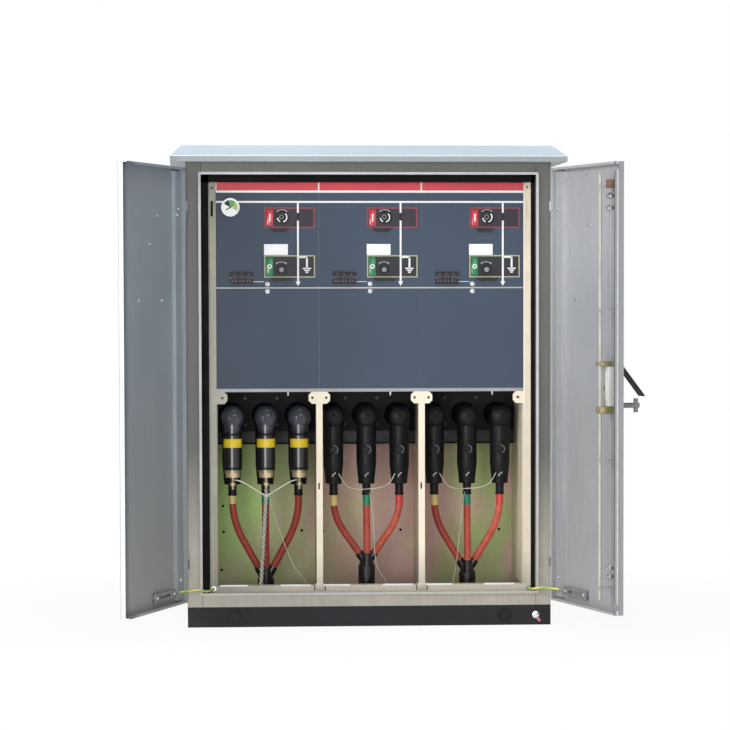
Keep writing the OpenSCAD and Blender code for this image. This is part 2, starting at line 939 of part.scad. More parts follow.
module left_stay() {
  color(pale_steel)
    on_door(-1)
      stay_bar();
}

module right_door() {
  color(pale_steel)
    on_door(1)
      difference() {
        door_with_hinges(false);
        translate([rod_x, door_y0 - 1, handle_z])
          rotate([-90, 0, 0])
            cylinder(h = sheet_t + 2, r = shaft_r + 0.6);
      }
}

module right_stiffener() {
  color(pale_steel)
    on_door(1)
      stiffener();
}

module right_stay() {
  color(pale_steel)
    on_door(1)
      stay_bar();
}

// Three-point lock: box, two rods, guides, handle and cover flap
module lock_box() {
  color([0.80, 0.80, 0.78])
    on_door(1)
      difference() {
        span(rod_x - 30, rod_x + 30, skin_y, lock_y, lock_z0, lock_z1);
        translate([rod_x, skin_y - 1, handle_z])
          rotate([-90, 0, 0])
            cylinder(h = 29, r = shaft_r + 0.4);
        for (z = [lock_z0 - 1, lock_z1 - 55])
          translate([rod_x, rod_y, z])
            cylinder(h = 56, r = rod_bore);
      }
}

module rod_guide() {
  difference() {
    span(rod_x - 13, rod_x + 13, skin_y, rod_y + 10, 0, 6);
    translate([rod_x, rod_y, -1])
      cylinder(h = 8, r = rod_bore);
  }
}

module rod_guides() {
  color(brass)
    on_door(1)
      for (z = [rod_z0 + rod_travel, rod_z0 + (lock_z0 - rod_z0) * 0.72,
          lock_z1 + (rod_z1 - lock_z1) * 0.28, rod_z1 - rod_travel - 8])
        translate([0, 0, z])
          rod_guide();
}

module upper_rod() {
  color(cream)
    on_door(1)
      translate([rod_x, rod_y, lock_z1 - 46])
        cylinder(h = rod_z1 - lock_z1 + 46, r = rod_r);
}

module lower_rod() {
  color(cream)
    on_door(1)
      translate([rod_x, rod_y, rod_z0])
        cylinder(h = lock_z0 + 46 - rod_z0, r = rod_r);
}

module handle_plate() {
  color(charcoal)
    on_door(1) {
      difference() {
        span(rod_x - 25, rod_x + 25, door_y0 - 4, door_y0, handle_z - 32, handle_z + 134);
        translate([rod_x, door_y0 - 5, handle_z])
          rotate([-90, 0, 0])
            cylinder(h = 6, r = shaft_r + 0.6);
      }
      for (x = [rod_x - 24, rod_x + 19])
        span(x, x + 5, cover_y - 5, door_y0 - 3, cover_z - 6, cover_z + 6);
      translate([rod_x - 20, cover_y, cover_z])
        rotate([0, 90, 0])
          cylinder(h = 40, r = 2);
    }
}

module handle() {
  color([0.55, 0.56, 0.57])
    on_door(1)
      translate([rod_x, 0, handle_z]) {
        translate([0, door_y0 - handle_l, 0])
          rotate([-90, 0, 0])
            cylinder(h = handle_l - door_y0 + 2, r = shaft_r);
        translate([0, door_y0 - handle_l + 10, -cross_l])
          cylinder(h = 2 * cross_l, r = 7);
      }
}

module lock_cover() {
  color(charcoal)
    on_door(1)
      translate([rod_x, cover_y, cover_z])
        rotate([-cover_lift, 0, 0])
          difference() {
            union() {
              translate([-17, 0, 0])
                rotate([0, 90, 0])
                  cylinder(h = 34, r = 4.2);
              span(-17, 17, -4, 0, -12, 0);
              span(-23, 23, -4, 0, -cover_l, -11);
            }
            translate([-18, 0, 0])
              rotate([0, 90, 0])
                cylinder(h = 36, r = 2.4);
          }
}

// Earth leads: from a stud on each door over the sill to the foot of the switchgear
module lead_run(p, q) {
  v = q - p;
  len = norm(v);
  translate(p)
    rotate([0, acos(v[2] / len), atan2(v[1], v[0])])
      cylinder(h = len, r = 3, $fn = 20);
}

module earth_lead(turn, foot_x) {
  lift = skin_y + stiff_h + 2.25;
  stud = [-half_w + 60 * cos(turn) + lift * sin(turn),
    front_y - hinge_off - 60 * sin(turn) + lift * cos(turn), open_z0 + 8];
  knee = [-open_hw + 10, front_y - seal_h - 16, open_z0 + 8];
  side = foot_x - knee[0];
  foot = [foot_x, unit_y - 0.3 - 3 * abs(side) / norm([side, unit_y - knee[1]]), open_z0 + 8];
  lead_run(stud, knee);
  translate(knee)
    sphere(r = 3.5, $fn = 20);
  lead_run(knee, foot);
}

module left_earth_lead() {
  color([0.70, 0.72, 0.25])
    earth_lead(left_open, unit_left + post_w / 2);
}

module right_earth_lead() {
  color([0.70, 0.72, 0.25])
    mirror([1, 0, 0])
      earth_lead(right_open, -unit_right + post_w / 2);
}

plinth_front();
plinth_rear();
plinth_sides();
plinth_plugs();
floor_plate();
left_jamb();
right_jamb();
header();
sill();
seal_rail();
left_wall();
right_wall();
back_wall();
roof();
frame_hinges();
end_posts();
mid_posts();
bay_partitions();
side_panels();
bay_back_panel();
base_rail();
lower_strip();
gas_tank();
tank_back_plate();
tank_stand();
mechanism_box();
stripe_panels();
mimic_panels();
cover_panels();
switch_plates();
earth_plates();
switch_sockets();
earth_sockets();
voltage_indicators();
pressure_gauge();
bay_connectors();
surge_arresters();
arrester_ends();
cable_cores();
cable_boots();
earth_strap();
arrester_wires();
screen_wires();
drain_wires();
left_door();
left_stiffener();
left_stay();
right_door();
right_stiffener();
right_stay();
lock_box();
rod_guides();
upper_rod();
lower_rod();
handle_plate();
handle();
lock_cover();
left_earth_lead();
right_earth_lead();
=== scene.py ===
"""Outdoor switchgear cabinet: finishes, markings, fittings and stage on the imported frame."""

import json
import math

import bmesh
import bpy
from mathutils import Matrix, Vector


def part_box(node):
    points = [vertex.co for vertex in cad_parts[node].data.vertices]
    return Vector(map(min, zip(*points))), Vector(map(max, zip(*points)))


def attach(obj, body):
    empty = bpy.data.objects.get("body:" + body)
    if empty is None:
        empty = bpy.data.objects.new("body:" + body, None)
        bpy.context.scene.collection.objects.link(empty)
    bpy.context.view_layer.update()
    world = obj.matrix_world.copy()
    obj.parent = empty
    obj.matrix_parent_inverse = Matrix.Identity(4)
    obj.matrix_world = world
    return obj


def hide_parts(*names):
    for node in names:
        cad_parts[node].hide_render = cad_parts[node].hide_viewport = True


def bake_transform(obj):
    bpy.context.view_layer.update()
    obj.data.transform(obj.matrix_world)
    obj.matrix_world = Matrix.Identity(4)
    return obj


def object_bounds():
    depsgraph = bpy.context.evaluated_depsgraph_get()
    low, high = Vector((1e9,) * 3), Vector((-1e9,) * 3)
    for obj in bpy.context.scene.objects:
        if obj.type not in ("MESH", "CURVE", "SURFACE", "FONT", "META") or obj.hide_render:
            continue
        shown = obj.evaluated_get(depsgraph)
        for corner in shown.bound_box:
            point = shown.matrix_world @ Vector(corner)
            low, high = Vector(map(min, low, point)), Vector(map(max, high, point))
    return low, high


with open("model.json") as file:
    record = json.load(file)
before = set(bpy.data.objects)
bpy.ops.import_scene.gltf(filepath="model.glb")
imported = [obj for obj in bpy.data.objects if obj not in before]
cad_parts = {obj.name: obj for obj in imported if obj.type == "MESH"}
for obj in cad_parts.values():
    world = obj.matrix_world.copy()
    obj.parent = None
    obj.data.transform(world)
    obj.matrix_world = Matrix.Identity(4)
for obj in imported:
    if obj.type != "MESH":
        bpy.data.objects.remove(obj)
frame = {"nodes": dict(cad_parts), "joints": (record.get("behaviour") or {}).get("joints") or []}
CAD_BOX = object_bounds()

bl_info = {
    "name": "Switchgear cabinet",
    "version": (1, 0, 0),
    "blender": (4, 5, 0),
    "location": "3D View > Sidebar > Switchgear",
    "description": "Finishes, markings and fittings of an outdoor switchgear cabinet",
    "category": "Object",
}

MM = 0.001
UP, ALONG, FORWARD = (0, 0, 1), (1, 0, 0), (0, -1, 0)
BRUSHED = (150, 150, 9)

# Places read from the frame
PANEL_LO, PANEL_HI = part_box("mimic_panels")
STRIPE_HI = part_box("stripe_panels")[1]
PLATE_LO, PLATE_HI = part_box("switch_plates")
EARTH_LO, EARTH_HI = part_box("earth_plates")
SOCKET_LO, SOCKET_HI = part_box("switch_sockets")
KNOB_LO, KNOB_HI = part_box("earth_sockets")
GAUGE_LO, GAUGE_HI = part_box("pressure_gauge")
BLOCK_LO, BLOCK_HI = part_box("voltage_indicators")
POST_LO, POST_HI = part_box("end_posts")
TANK_LO, TANK_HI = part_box("gas_tank")
RAIL_LO, RAIL_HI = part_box("base_rail")
STRIP_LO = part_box("lower_strip")[0]
PLUG_LO, PLUG_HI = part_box("bay_connectors")
ARRESTER_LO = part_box("surge_arresters")[0]
END_LO, END_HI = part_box("arrester_ends")
CORE_LO, CORE_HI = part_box("cable_cores")
STRAP_LO, STRAP_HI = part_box("earth_strap")
JAMB_LO, JAMB_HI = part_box("left_jamb")
HEADER_LO, HEADER_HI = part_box("header")
SILL_LO, SILL_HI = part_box("sill")
ROOF_LO, ROOF_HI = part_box("roof")
PLINTH_LO, PLINTH_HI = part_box("plinth_front")
SEAL_LO, SEAL_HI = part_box("seal_rail")
BACK_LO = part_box("bay_back_panel")[0]

FACE_Y = PANEL_LO.y
FIELD_Y = FACE_Y - 1.5 * MM
PITCH = (PANEL_HI.x - PANEL_LO.x + 1 * MM) / 3
MODULES = [PANEL_LO.x - 0.5 * MM + i * PITCH for i in range(3)]
UNIT_RIGHT = MODULES[2] + PITCH
BAYS = [x + PITCH / 2 for x in MODULES]
JOINT_Z = PANEL_LO.z - 0.5 * MM
TOP_Z = PANEL_HI.z + 0.5 * MM
BUS_Z = TOP_Z - 35 * MM
BRANCH_X = 259 * MM
FLANGE_R = 40 * MM
PHASE = (PLUG_HI.x - PLUG_LO.x) / 2 - PITCH - FLANGE_R
PLUGS = [(PLUG_LO.x + PLUG_HI.x) / 2 + k * PITCH for k in (-1, 0, 1)]
CORE_R = (CORE_HI.y - CORE_LO.y) / 3.87
BEND_R = 60 * MM
LEG_Y = CORE_HI.y - CORE_R
NECK_Z = CORE_HI.z
UNIT_Z = RAIL_LO.z
BAY_H = STRIP_LO.z - UNIT_Z
BOOTS = [UNIT_Z + BAY_H * share for share in (0.160, 0.224, 0.187)]
PLUG_Z = UNIT_Z + BAY_H * 0.8783
ARRESTER_Y = (END_LO.y + END_HI.y) / 2
JOINTS = {joint["name"]: joint for joint in frame["joints"]}

# Levels and places on the doors, in door coordinates and millimetres
FREE_EDGE, OUTER_SKIN, INNER_SKIN, STIFFENER = 572, -25, -22, -10
ROD_X, ROD_Y = 497, 22
EDGE_BOLT_X, EDGE_BOLTS = 540, (1343, 1307, 224, 197)


def mm(*values):
    """Millimetres as metres"""
    return tuple(value * MM for value in values)


def profile(*points):
    """Radii and heights of a turned shape, from millimetres"""
    return [mm(*point) for point in points]


def disc(radius, height):
    """Profile of a plain disc"""
    return [(0, 0), (radius, 0), (radius, height), (0, height)]


def linear(red, green, blue):
    """Linear colour of a screen colour with channels from 0 to 255"""
    parts = [c / 255 for c in (red, green, blue)]
    return tuple(c / 12.92 if c <= 0.04045 else ((c + 0.055) / 1.055) ** 2.4 for c in parts)


def colour(name, text, red, green, blue):
    return bpy.props.FloatVectorProperty(
        name=name, description=text, subtype="COLOR", size=3, min=0, max=1,
        default=linear(red, green, blue))


def size(name, text, millimetres):
    return bpy.props.FloatProperty(
        name=name, description=text, subtype="DISTANCE", unit="LENGTH", min=0,
        precision=4, default=millimetres * MM)


def power(name, text, watts):
    return bpy.props.FloatProperty(name=name, description=text, unit="POWER", default=watts)


class SheetColours(bpy.types.PropertyGroup):
    """Colours of the cabinet's own sheets"""
    # The door tones are lit and shaded copies of one sheet: the left door's inside is partly painted in shade
    # and the right door's partly in light
    left_door: colour("Left door", "Inside of the left door", 154, 163, 172)
    right_door: colour("Right door", "Inside of the right door", 186, 188, 191)
    # The frame's dark tone is painted shade from the roof's overhang
    frame: colour("Frame", "Jambs and header", 106, 107, 103)
    # Tint towards the ground: painted light low on the jambs and sill, painted shade low on the left door,
    # and duller towards the bottom on walls, seal rail and cream paint
    low_tint: colour("Low tint", "Dust on the sheets near the ground", 172, 166, 155)
    walls: colour("Walls", "Outside of walls and doors", 172, 175, 177)
    # The pale bluish slope tone is painted light from above, set against the duller hanging edge
    roof: colour("Roof", "Slopes of the roof", 206, 220, 233)
    roof_edge: colour("Roof edge", "Hanging edge of the roof", 150, 156, 158)
    seal: colour("Seal rail", "Rail round the doorway", 194, 195, 194)
    plinth: colour("Plinth", "Paint of the plinth", 42, 41, 46)


class UnitColours(bpy.types.PropertyGroup):
    """Colours of the switchgear's front and frame"""
    slate: colour("Slate", "Mimic and cover panels", 59, 73, 92)
    red: colour("Red", "Top strips", 212, 56, 70)
    rim: colour("Switch rim", "Rim of the switch plates", 134, 58, 76)
    earth_rim: colour("Earth rim", "Rim of the earthing plates", 170, 174, 144)
    switch_field: colour("Switch field", "Field of the switch plates", 42, 37, 50)
    earth_field: colour("Earth field", "Field of the earthing plates", 34, 36, 44)
    closed: colour("Closed", "Indicator of a closed switch", 208, 50, 64)
    opened: colour("Open", "Indicator of an open earthing switch", 22, 132, 78)
    line: colour("Line", "Painted lines", 238, 240, 240)
    cream: colour("Cream", "Posts, rails and partitions", 242, 230, 209)
    # Painted shade: the left end post lies in the left door's shadow, so its cream is painted greyer
    shaded_cream: colour("Shaded cream", "Paint of the left end post", 164, 162, 148)


class CableColours(bpy.types.PropertyGroup):
    """Colours of the cable bays"""
    core_shade: colour("Core, shaded", "Core jackets in the left bay and left of each bay", 160, 66, 56)
    core_light: colour("Core, lit", "Core jackets to the right of the other bays", 214, 104, 84)
    rubber: colour("Rubber", "Plug bodies and boots", 24, 25, 29)
    # The domes' bluish grey is partly the arresters' rubber and partly a painted sheen from above
    dome: colour("Domes", "Domes of the arresters", 48, 51, 60)
    yellow: colour("Yellow", "First phase and arrester bands", 226, 196, 44)
    green: colour("Green", "Second phase", 30, 138, 110)
    pink: colour("Red phase", "Third phase", 208, 72, 72)
    chromate_green: colour("Chromate, green", "Green sheen of the back panel", 180, 214, 130)
    chromate_rose: colour("Chromate, rose", "Rose sheen of the back panel", 220, 186, 174)
    wire: colour("Wire", "Tinned wires and braid", 226, 224, 210)


class TrimSizes(bpy.types.PropertyGroup):
    """Sizes of markings and fittings"""
    line_w: size("Line width", "Width of the mimic lines", 5.8)
    mark_t: size("Mark thickness", "How far markings stand out", 0.6)
    screw: size("Screw", "Radius of a thumb screw", 6.2)
    stud: size("Stud", "Radius of a weld stud on the doors", 4.2)
    strand: size("Strand", "Radius of one strand of the braid", 3.7)
    lay: size("Lay", "Length of one turn of the braid", 30.0)
    wire_r: size("Wire", "Radius of the tinned wires", 2.2)
    band_l: size("Band", "Length of a phase band", 34.0)


class StudioSettings(bpy.types.PropertyGroup):
    """Light and floor of the stage"""
    key: power("Key", "Power of the key lamp", 265)
    top: power("Top", "Power of the overhead lamp", 100)
    low: power("Low", "Power of the lamp near the floor", 58)
    front: power("Front", "Power of the front lamp", 86)
    ambient: bpy.props.FloatProperty(name="Ambient", description="Light from all round", min=0, default=0.31)
    floor: colour("Floor", "Floor of the stage", 246, 246, 245)


# Finishes


def blank(name):
    """A new material with a shader and nothing else"""
    material = bpy.data.materials.new("finish_" + name)
    material.use_nodes = True
    tree = material.node_tree
    tree.nodes.clear()
    shader = tree.nodes.new("ShaderNodeBsdfPrincipled")
    output = tree.nodes.new("ShaderNodeOutputMaterial")
    tree.links.new(shader.outputs[0], output.inputs[0])
    return material, tree, shader


def set_socket(tree, socket, value):
    if isinstance(value, bpy.types.NodeSocket):
        tree.links.new(value, socket)
    elif socket.type == "RGBA" and len(value) == 3:
        socket.default_value = (*value, 1)
    else:
        socket.default_value = value


def add(tree, kind, inputs=None, **settings):
    """Adds a node, with its settings and its inputs by name"""
    node = tree.nodes.new(kind)
    for key, value in settings.items():
        setattr(node, key, value)
    for key, value in (inputs or {}).items():
        set_socket(tree, node.inputs[key], value)
    return node


def mix(tree, factor, first, second, blend="MIX"):
    node = tree.nodes.new("ShaderNodeMix")
    node.data_type = "RGBA"
    node.blend_type = blend
    for index, value in ((0, factor), (6, first), (7, second)):
        set_socket(tree, node.inputs[index], value)
    return node.outputs[2]


def remap(tree, value, low, high, to_low, to_high):
    node = add(tree, "ShaderNodeMapRange", {
        "Value": value, "From Min": low, "From Max": high, "To Min": to_low, "To Max": to_high})
    return node.outputs["Result"]


def math_node(tree, operation, first, second=0.0):
    node = tree.nodes.new("ShaderNodeMath")
    node.operation = operation
    set_socket(tree, node.inputs[0], first)
    set_socket(tree, node.inputs[1], second)
    return node.outputs[0]


def noise(tree, vector, scale, detail=5.0, roughness=0.6):
    node = add(tree, "ShaderNodeTexNoise", {
        "Vector": vector, "Scale": scale, "Detail": detail, "Roughness": roughness})
    return node.outputs["Fac"]


def stretched(tree, vector, scale):
    return add(tree, "ShaderNodeMapping", {"Vector": vector, "Scale": scale}).outputs["Vector"]


def place_of(tree):
    return add(tree, "ShaderNodeTexCoord").outputs["Object"]


def surface(tree, shader, base, fine, rough, relief, depth=0.0006):
    """Connects colour, a roughness that varies with the fine grain, and a relief of the same grain"""
    set_socket(tree, shader.inputs["Base Color"], base)
    set_socket(tree, shader.inputs["Roughness"],
               remap(tree, fine, 0.3, 0.7, max(rough - 0.08, 0.03), min(rough + 0.08, 1.0)))
    bump = add(tree, "ShaderNodeBump", {"Strength": relief, "Distance": depth, "Height": fine})
    set_socket(tree, shader.inputs["Normal"], bump.outputs["Normal"])


def coat(name, tone, shade, rough=0.5, metal=0.0, grain=240, share=0.2, cloud=4.0,
         relief=0.12, veils=(), gloss=0.0, specular=0.4):
    """Paint, sheet, rubber or plastic: two tones in soft patches, a fine grain, and veils of another
    tint, each with its direction, where it is full, where it ends and how much of it shows.
    The grain is one scale for all axes or three"""
    material, tree, shader = blank(name)
    place = place_of(tree)
    patches = noise(tree, place, cloud)
    scale = grain if isinstance(grain, tuple) else (grain, grain, grain)
    fine = noise(tree, stretched(tree, place, scale), 1.0, 6.0, 0.65)
    base = mix(tree, remap(tree, patches, 0.34, 0.66, 0, 1), tone, shade)
    if veils:
        speckle = remap(tree, noise(tree, place, 11.0), 0.3, 0.7, 0.78, 1.08)
    # Some veils are painted light and shade, others tints on the surface
    for tint, direction, full, none, most in veils:
        along = add(tree, "ShaderNodeVectorMath", operation="DOT_PRODUCT")
        tree.links.new(place, along.inputs[0])
        along.inputs[1].default_value = direction
        amount = remap(tree, along.outputs["Value"], full, none, most, 0.0)
        base = mix(tree, math_node(tree, "MULTIPLY", amount, speckle), base, tint)
    base = mix(tree, share, base, fine, "OVERLAY")
    surface(tree, shader, base, fine, rough, relief)
    shader.inputs["Metallic"].default_value = metal
    shader.inputs["Coat Weight"].default_value = gloss
    shader.inputs["Specular IOR Level"].default_value = specular
    return material


def roofing(name, slope, edge):
    """Pale sheet on the slopes and duller sheet where the edge hangs down: painted light from above on the
    faces that turn up
    """
    material, tree, shader = blank(name)
    place = place_of(tree)
    facing = add(tree, "ShaderNodeNewGeometry").outputs["Normal"]
    up = add(tree, "ShaderNodeSeparateXYZ", {"Vector": facing}).outputs["Z"]
    fine = noise(tree, stretched(tree, place, (45, 45, 45)), 1.0, 6.0, 0.65)
    streaks = noise(tree, stretched(tree, place, (3, 9, 9)), 1.0, 4.0)
    top = mix(tree, remap(tree, streaks, 0.35, 0.65, 0, 1), slope, darker(slope, 0.9))
    side = mix(tree, remap(tree, streaks, 0.35, 0.65, 0, 1), edge, darker(edge, 0.88))
    # Faces that turn up take the slope tone, a painted light from above
    base = mix(tree, remap(tree, up, 0.03, 0.15, 0, 1), side, top)
    base = mix(tree, 0.12, base, fine, "OVERLAY")
    surface(tree, shader, base, fine, 0.4, 0.08)
    shader.inputs["Specular IOR Level"].default_value = 0.35
    return material


def darker(tint, share):
    return tuple(c * share for c in tint)


def chromate(name, green, rose):
    """Chromated sheet whose sheen runs from green through olive to rose along the unit"""
    material, tree, shader = blank(name)
    place = place_of(tree)
    left_full, left_end, right_middle, right_reach = -0.42, 0.02, 0.38, 0.19
    along = add(tree, "ShaderNodeSeparateXYZ", {"Vector": place})
    drift = remap(tree, noise(tree, stretched(tree, place, (6, 6, 4)), 1.0, 4.0), 0.3, 0.7, -0.16, 0.16)
    shifted = math_node(tree, "ADD", along.outputs["X"], drift)
    left = remap(tree, shifted, left_full, left_end, 1, 0)
    middle = math_node(tree, "ABSOLUTE", math_node(tree, "SUBTRACT", shifted, right_middle), 0.0)
    right = remap(tree, middle, 0.0, right_reach, 0.85, 0)
    sheen = math_node(tree, "MAXIMUM", left, right)
    base = mix(tree, sheen, rose, green)
    fine = noise(tree, stretched(tree, place, (120, 120, 60)), 1.0, 6.0)
    base = mix(tree, 0.22, base, fine, "OVERLAY")
    low = remap(tree, along.outputs["Z"], 0.10, 0.24, 0.5, 0.0)
    base = mix(tree, low, base, darker(rose, 0.42))
    surface(tree, shader, base, fine, 0.5, 0.1)
    shader.inputs["Metallic"].default_value = 0.1
    shader.inputs["Specular IOR Level"].default_value = 0.3
    return material


def jacket(name, shaded, lit):
    """Heat-shrunk core jackets with faint rings across, in painted shade in the left bay and left of each
    bay, and painted light further right
    """
    material, tree, shader = blank(name)
    place = place_of(tree)
    along = add(tree, "ShaderNodeSeparateXYZ", {"Vector": place}).outputs["X"]
    rings = add(tree, "ShaderNodeTexWave", {
        "Vector": place, "Scale": 38.0, "Distortion": 9.0, "Detail": 4.0, "Detail Scale": 2.2},
        bands_direction="Z").outputs["Fac"]
    fine = noise(tree, stretched(tree, place, (90, 90, 300)), 1.0, 4.0)
    from_left = math_node(tree, "SUBTRACT", along, MODULES[0])
    bay = math_node(tree, "FRACT", math_node(tree, "DIVIDE", from_left, PITCH))
    # Painted light: the share of the lit tone grows to the right of each bay after the first
    past_left_bay = remap(tree, along, -0.20, -0.10, 0, 1)
    bright = math_node(tree, "MULTIPLY", past_left_bay, remap(tree, bay, 0.2, 0.7, 0, 1))
    base = mix(tree, bright, shaded, lit)
    base = mix(tree, remap(tree, noise(tree, place, 26.0), 0.42, 0.75, 0, 0.5), base, darker(shaded, 0.55))
    base = mix(tree, remap(tree, rings, 0.5, 0.95, 0, 0.3), base, darker(shaded, 0.45))
    base = mix(tree, 0.18, base, fine, "OVERLAY")
    surface(tree, shader, base, rings, 0.46, 0.35, 0.0008)
    shader.inputs["Specular IOR Level"].default_value = 0.22
    return material


def woven(name, tint):
    """Tinned wire: bright threads with dark gaps across the strand"""
    material, tree, shader = blank(name)
    place = place_of(tree)
    threads = add(tree, "ShaderNodeTexWave", {
        "Vector": stretched(tree, place, (300, 300, 420)), "Scale": 1.0, "Distortion": 2.5, "Detail": 2.0},
        bands_direction="DIAGONAL").outputs["Fac"]
    base = mix(tree, remap(tree, threads, 0.15, 0.6, 0, 1), darker(tint, 0.35), tint)
    surface(tree, shader, base, threads, 0.42, 0.5)
    shader.inputs["Metallic"].default_value = 0.45
    return material


def striped(name, yellow, green):
    """Earth lead: yellow jacket with two green stripes that follow the lead"""
    material, tree, shader = blank(name)
    stripe = add(tree, "ShaderNodeAttribute", attribute_name="stripe").outputs["Fac"]
    fine = noise(tree, place_of(tree), 420.0)
    base = mix(tree, remap(tree, stripe, 0.74, 0.86, 0, 1), yellow, green)
    base = mix(tree, 0.15, base, fine, "OVERLAY")
    surface(tree, shader, base, fine, 0.45, 0.08)
    return material


def finish(name):
    found = bpy.data.materials.get("finish_" + name)
    if found is None:
        raise RuntimeError(f"no finish named {name}: mix the finishes first")
    return found


# Shapes


def link_object(name, data):
    made = bpy.data.objects.new(name, data)
    bpy.context.scene.collection.objects.link(made)
    return made


def smooth(mesh, angle):
    """Smooth faces, with the edges past an angle left sharp"""
    for polygon in mesh.polygons:
        polygon.use_smooth = True
    mesh.set_sharp_from_angle(angle=math.radians(angle))


def aim(origin, direction):
    """Puts a shape's Z axis along a direction from an origin"""
    turn = Vector(direction).to_track_quat("Z", "Y").to_matrix().to_4x4()
    return Matrix.Translation(Vector(origin)) @ turn


def curve_through(points, steps=8):
    """Smooth route through the points, with the ends held"""
    knots = [Vector(p) for p in points]
    knots = [2 * knots[0] - knots[1]] + knots + [2 * knots[-1] - knots[-2]]
    route = []
    for a, b, c, d in zip(knots, knots[1:], knots[2:], knots[3:]):
        for k in range(steps):
            t = k / steps
            route.append(0.5 * (2 * b + (c - a) * t + (2 * a - 5 * b + 4 * c - d) * t ** 2
                                + (3 * b - a - 3 * c + d) * t ** 3))
    return route + [knots[-2]]


def arc_points(centre, radius, start, stop, steps):
    return [(centre[0] + radius * math.cos(math.radians(start + (stop - start) * k / steps)),
             centre[1] + radius * math.sin(math.radians(start + (stop - start) * k / steps)))
            for k in range(steps + 1)]


class Shape:
    """Collects closed solids in one mesh, each with the finish in use"""

    def __init__(self, place=None):
        self.mesh = bmesh.new()
        self.place = place or Matrix.Identity(4)
        self.finishes = []
        self.index = 0

    def use(self, name):
        if name not in self.finishes:
            self.finishes.append(name)
        self.index = self.finishes.index(name)
        return self

    def take(self, part, place=None):
        """Puts a solid in place, turns its faces outwards and joins it"""
        part.transform(self.place @ (place or Matrix.Identity(4)))
        bmesh.ops.recalc_face_normals(part, faces=part.faces[:])
        for face in part.faces:
            face.material_index = self.index
        scrap = bpy.data.meshes.new("scrap")
        part.to_mesh(scrap)
        part.free()
        self.mesh.from_mesh(scrap)
        bpy.data.meshes.remove(scrap)
        return self

    def block(self, low, high, bevel=0.0, place=None):
        part = bmesh.new()
        low, high = Vector(low), Vector(high)
        bmesh.ops.create_cube(part, size=1)
        for vert in part.verts:
            vert.co = Vector([low[k] if vert.co[k] < 0 else high[k] for k in range(3)])
        if bevel:
            bmesh.ops.bevel(part, geom=part.edges[:], offset=bevel, segments=2, affect="EDGES", profile=0.5)
        return self.take(part, place)

    def plate(self, outline, front, back, place=None):
        """An outline in X and Z with a thickness along Y"""
        part = bmesh.new()
        near = [part.verts.new((x, front, z)) for x, z in outline]
        far = [part.verts.new((x, back, z)) for x, z in outline]
        part.faces.new(near)
        part.faces.new(far[::-1])
        for k in range(len(outline)):
            n = (k + 1) % len(outline)
            part.faces.new((near[k], near[n], far[n], far[k]))
        return self.take(part, place)

    def arc(self, centre, inner, outer, start, stop, front, back, steps=18):
        """A band along an arc in X and Z"""
        outline = arc_points(centre, outer, start, stop, steps)
        outline += arc_points(centre, inner, stop, start, steps)
        return self.plate(outline, front, back)

    def turned(self, outline, place, steps=32):
        """An outline of radius and height turned about the place's Z axis"""
        part = bmesh.new()
        rings = []
        for radius, height in outline:
            if radius < 1e-7:
                rings.append([part.verts.new((0, 0, height))])
            else:
                rings.append([part.verts.new((radius * math.cos(2 * math.pi * k / steps),
                                              radius * math.sin(2 * math.pi * k / steps), height))
                              for k in range(steps)])
        for below, above in zip(rings, rings[1:]):
            for k in range(steps):
                n = (k + 1) % steps
                around = ((below, k), (below, n), (above, n), (above, k))
                corners = [ring[index % len(ring)] for ring, index in around]
                unique = list(dict.fromkeys(corners))
                if len(unique) > 2:
                    part.faces.new(unique)
        for ring in (rings[0], rings[-1]):
            if len(ring) > 1:
                part.faces.new(ring)
        return self.take(part, place)

    def tube(self, route, radius, sides=10):
        """A round section along a route"""
        part = bmesh.new()
        points = [Vector(p) for p in route]
        ahead = (points[1] - points[0]).normalized()
        side = ahead.orthogonal().normalized()
        rings = []
        for k, point in enumerate(points):
            near, far = points[max(k - 1, 0)], points[min(k + 1, len(points) - 1)]
            ahead = (far - near).normalized()
            side = (side - ahead * side.dot(ahead)).normalized()
            up = ahead.cross(side)
            rings.append([part.verts.new(point + radius * (side * math.cos(2 * math.pi * s / sides)
                                                           + up * math.sin(2 * math.pi * s / sides)))
                          for s in range(sides)])
        for below, above in zip(rings, rings[1:]):
            for s in range(sides):
                n = (s + 1) % sides
                part.faces.new((below[s], below[n], above[n], above[s]))
        part.faces.new(rings[0])
        part.faces.new(rings[-1])
        return self.take(part)

    def piece(self, name, body, angle=38, rides=True):
        mesh = bpy.data.meshes.new(name)
        self.mesh.to_mesh(mesh)
        self.mesh.free()
        smooth(mesh, angle)
        for used in self.finishes:
            mesh.materials.append(finish(used))
        made = link_object(name, mesh)
        if rides:
            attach(made, body)
        return made


def leaf_place(side):
    """Door coordinates of one leaf: X from the hinge along the door, Y towards the cabinet when closed"""
    joint = JOINTS["left_door_hinge" if side < 0 else "right_door_hinge"]
    turn = Matrix.Rotation(-math.radians(joint["range_deg"][1]), 4, "Z")
    mirror = Matrix.Identity(4) if side < 0 else Matrix.Scale(-1, 4, (1, 0, 0))
    return Matrix.Translation(Vector(joint["pos_m"])) @ mirror @ turn


def on_leaf(side, x, y, z):
    """Point in door coordinates, in millimetres, as a place in the frame"""
    return leaf_place(side) @ Vector((x * MM, y * MM, z * MM))


def leaf_way(side, x, y, z):
    return leaf_place(side).to_3x3() @ Vector((x, y, z))


def stepped(reach, top, low, steps=8):
    """Side and height along a core that steps sideways with two bends"""
    drop, over = top - low - 24 * MM, reach - 2 * BEND_R
    angle = math.asin(2 * BEND_R / math.hypot(drop, over)) + math.atan2(over, drop)
    turns = [angle * k / steps for k in range(steps + 1)]
    upper = [(reach - BEND_R * (1 - math.cos(a)), top - 12 * MM - BEND_R * math.sin(a)) for a in turns]
    lower = [(BEND_R * (1 - math.cos(a)), low + 12 * MM + BEND_R * math.sin(a)) for a in reversed(turns)]
    return [(reach, top)] + upper + lower + [(0, low)]


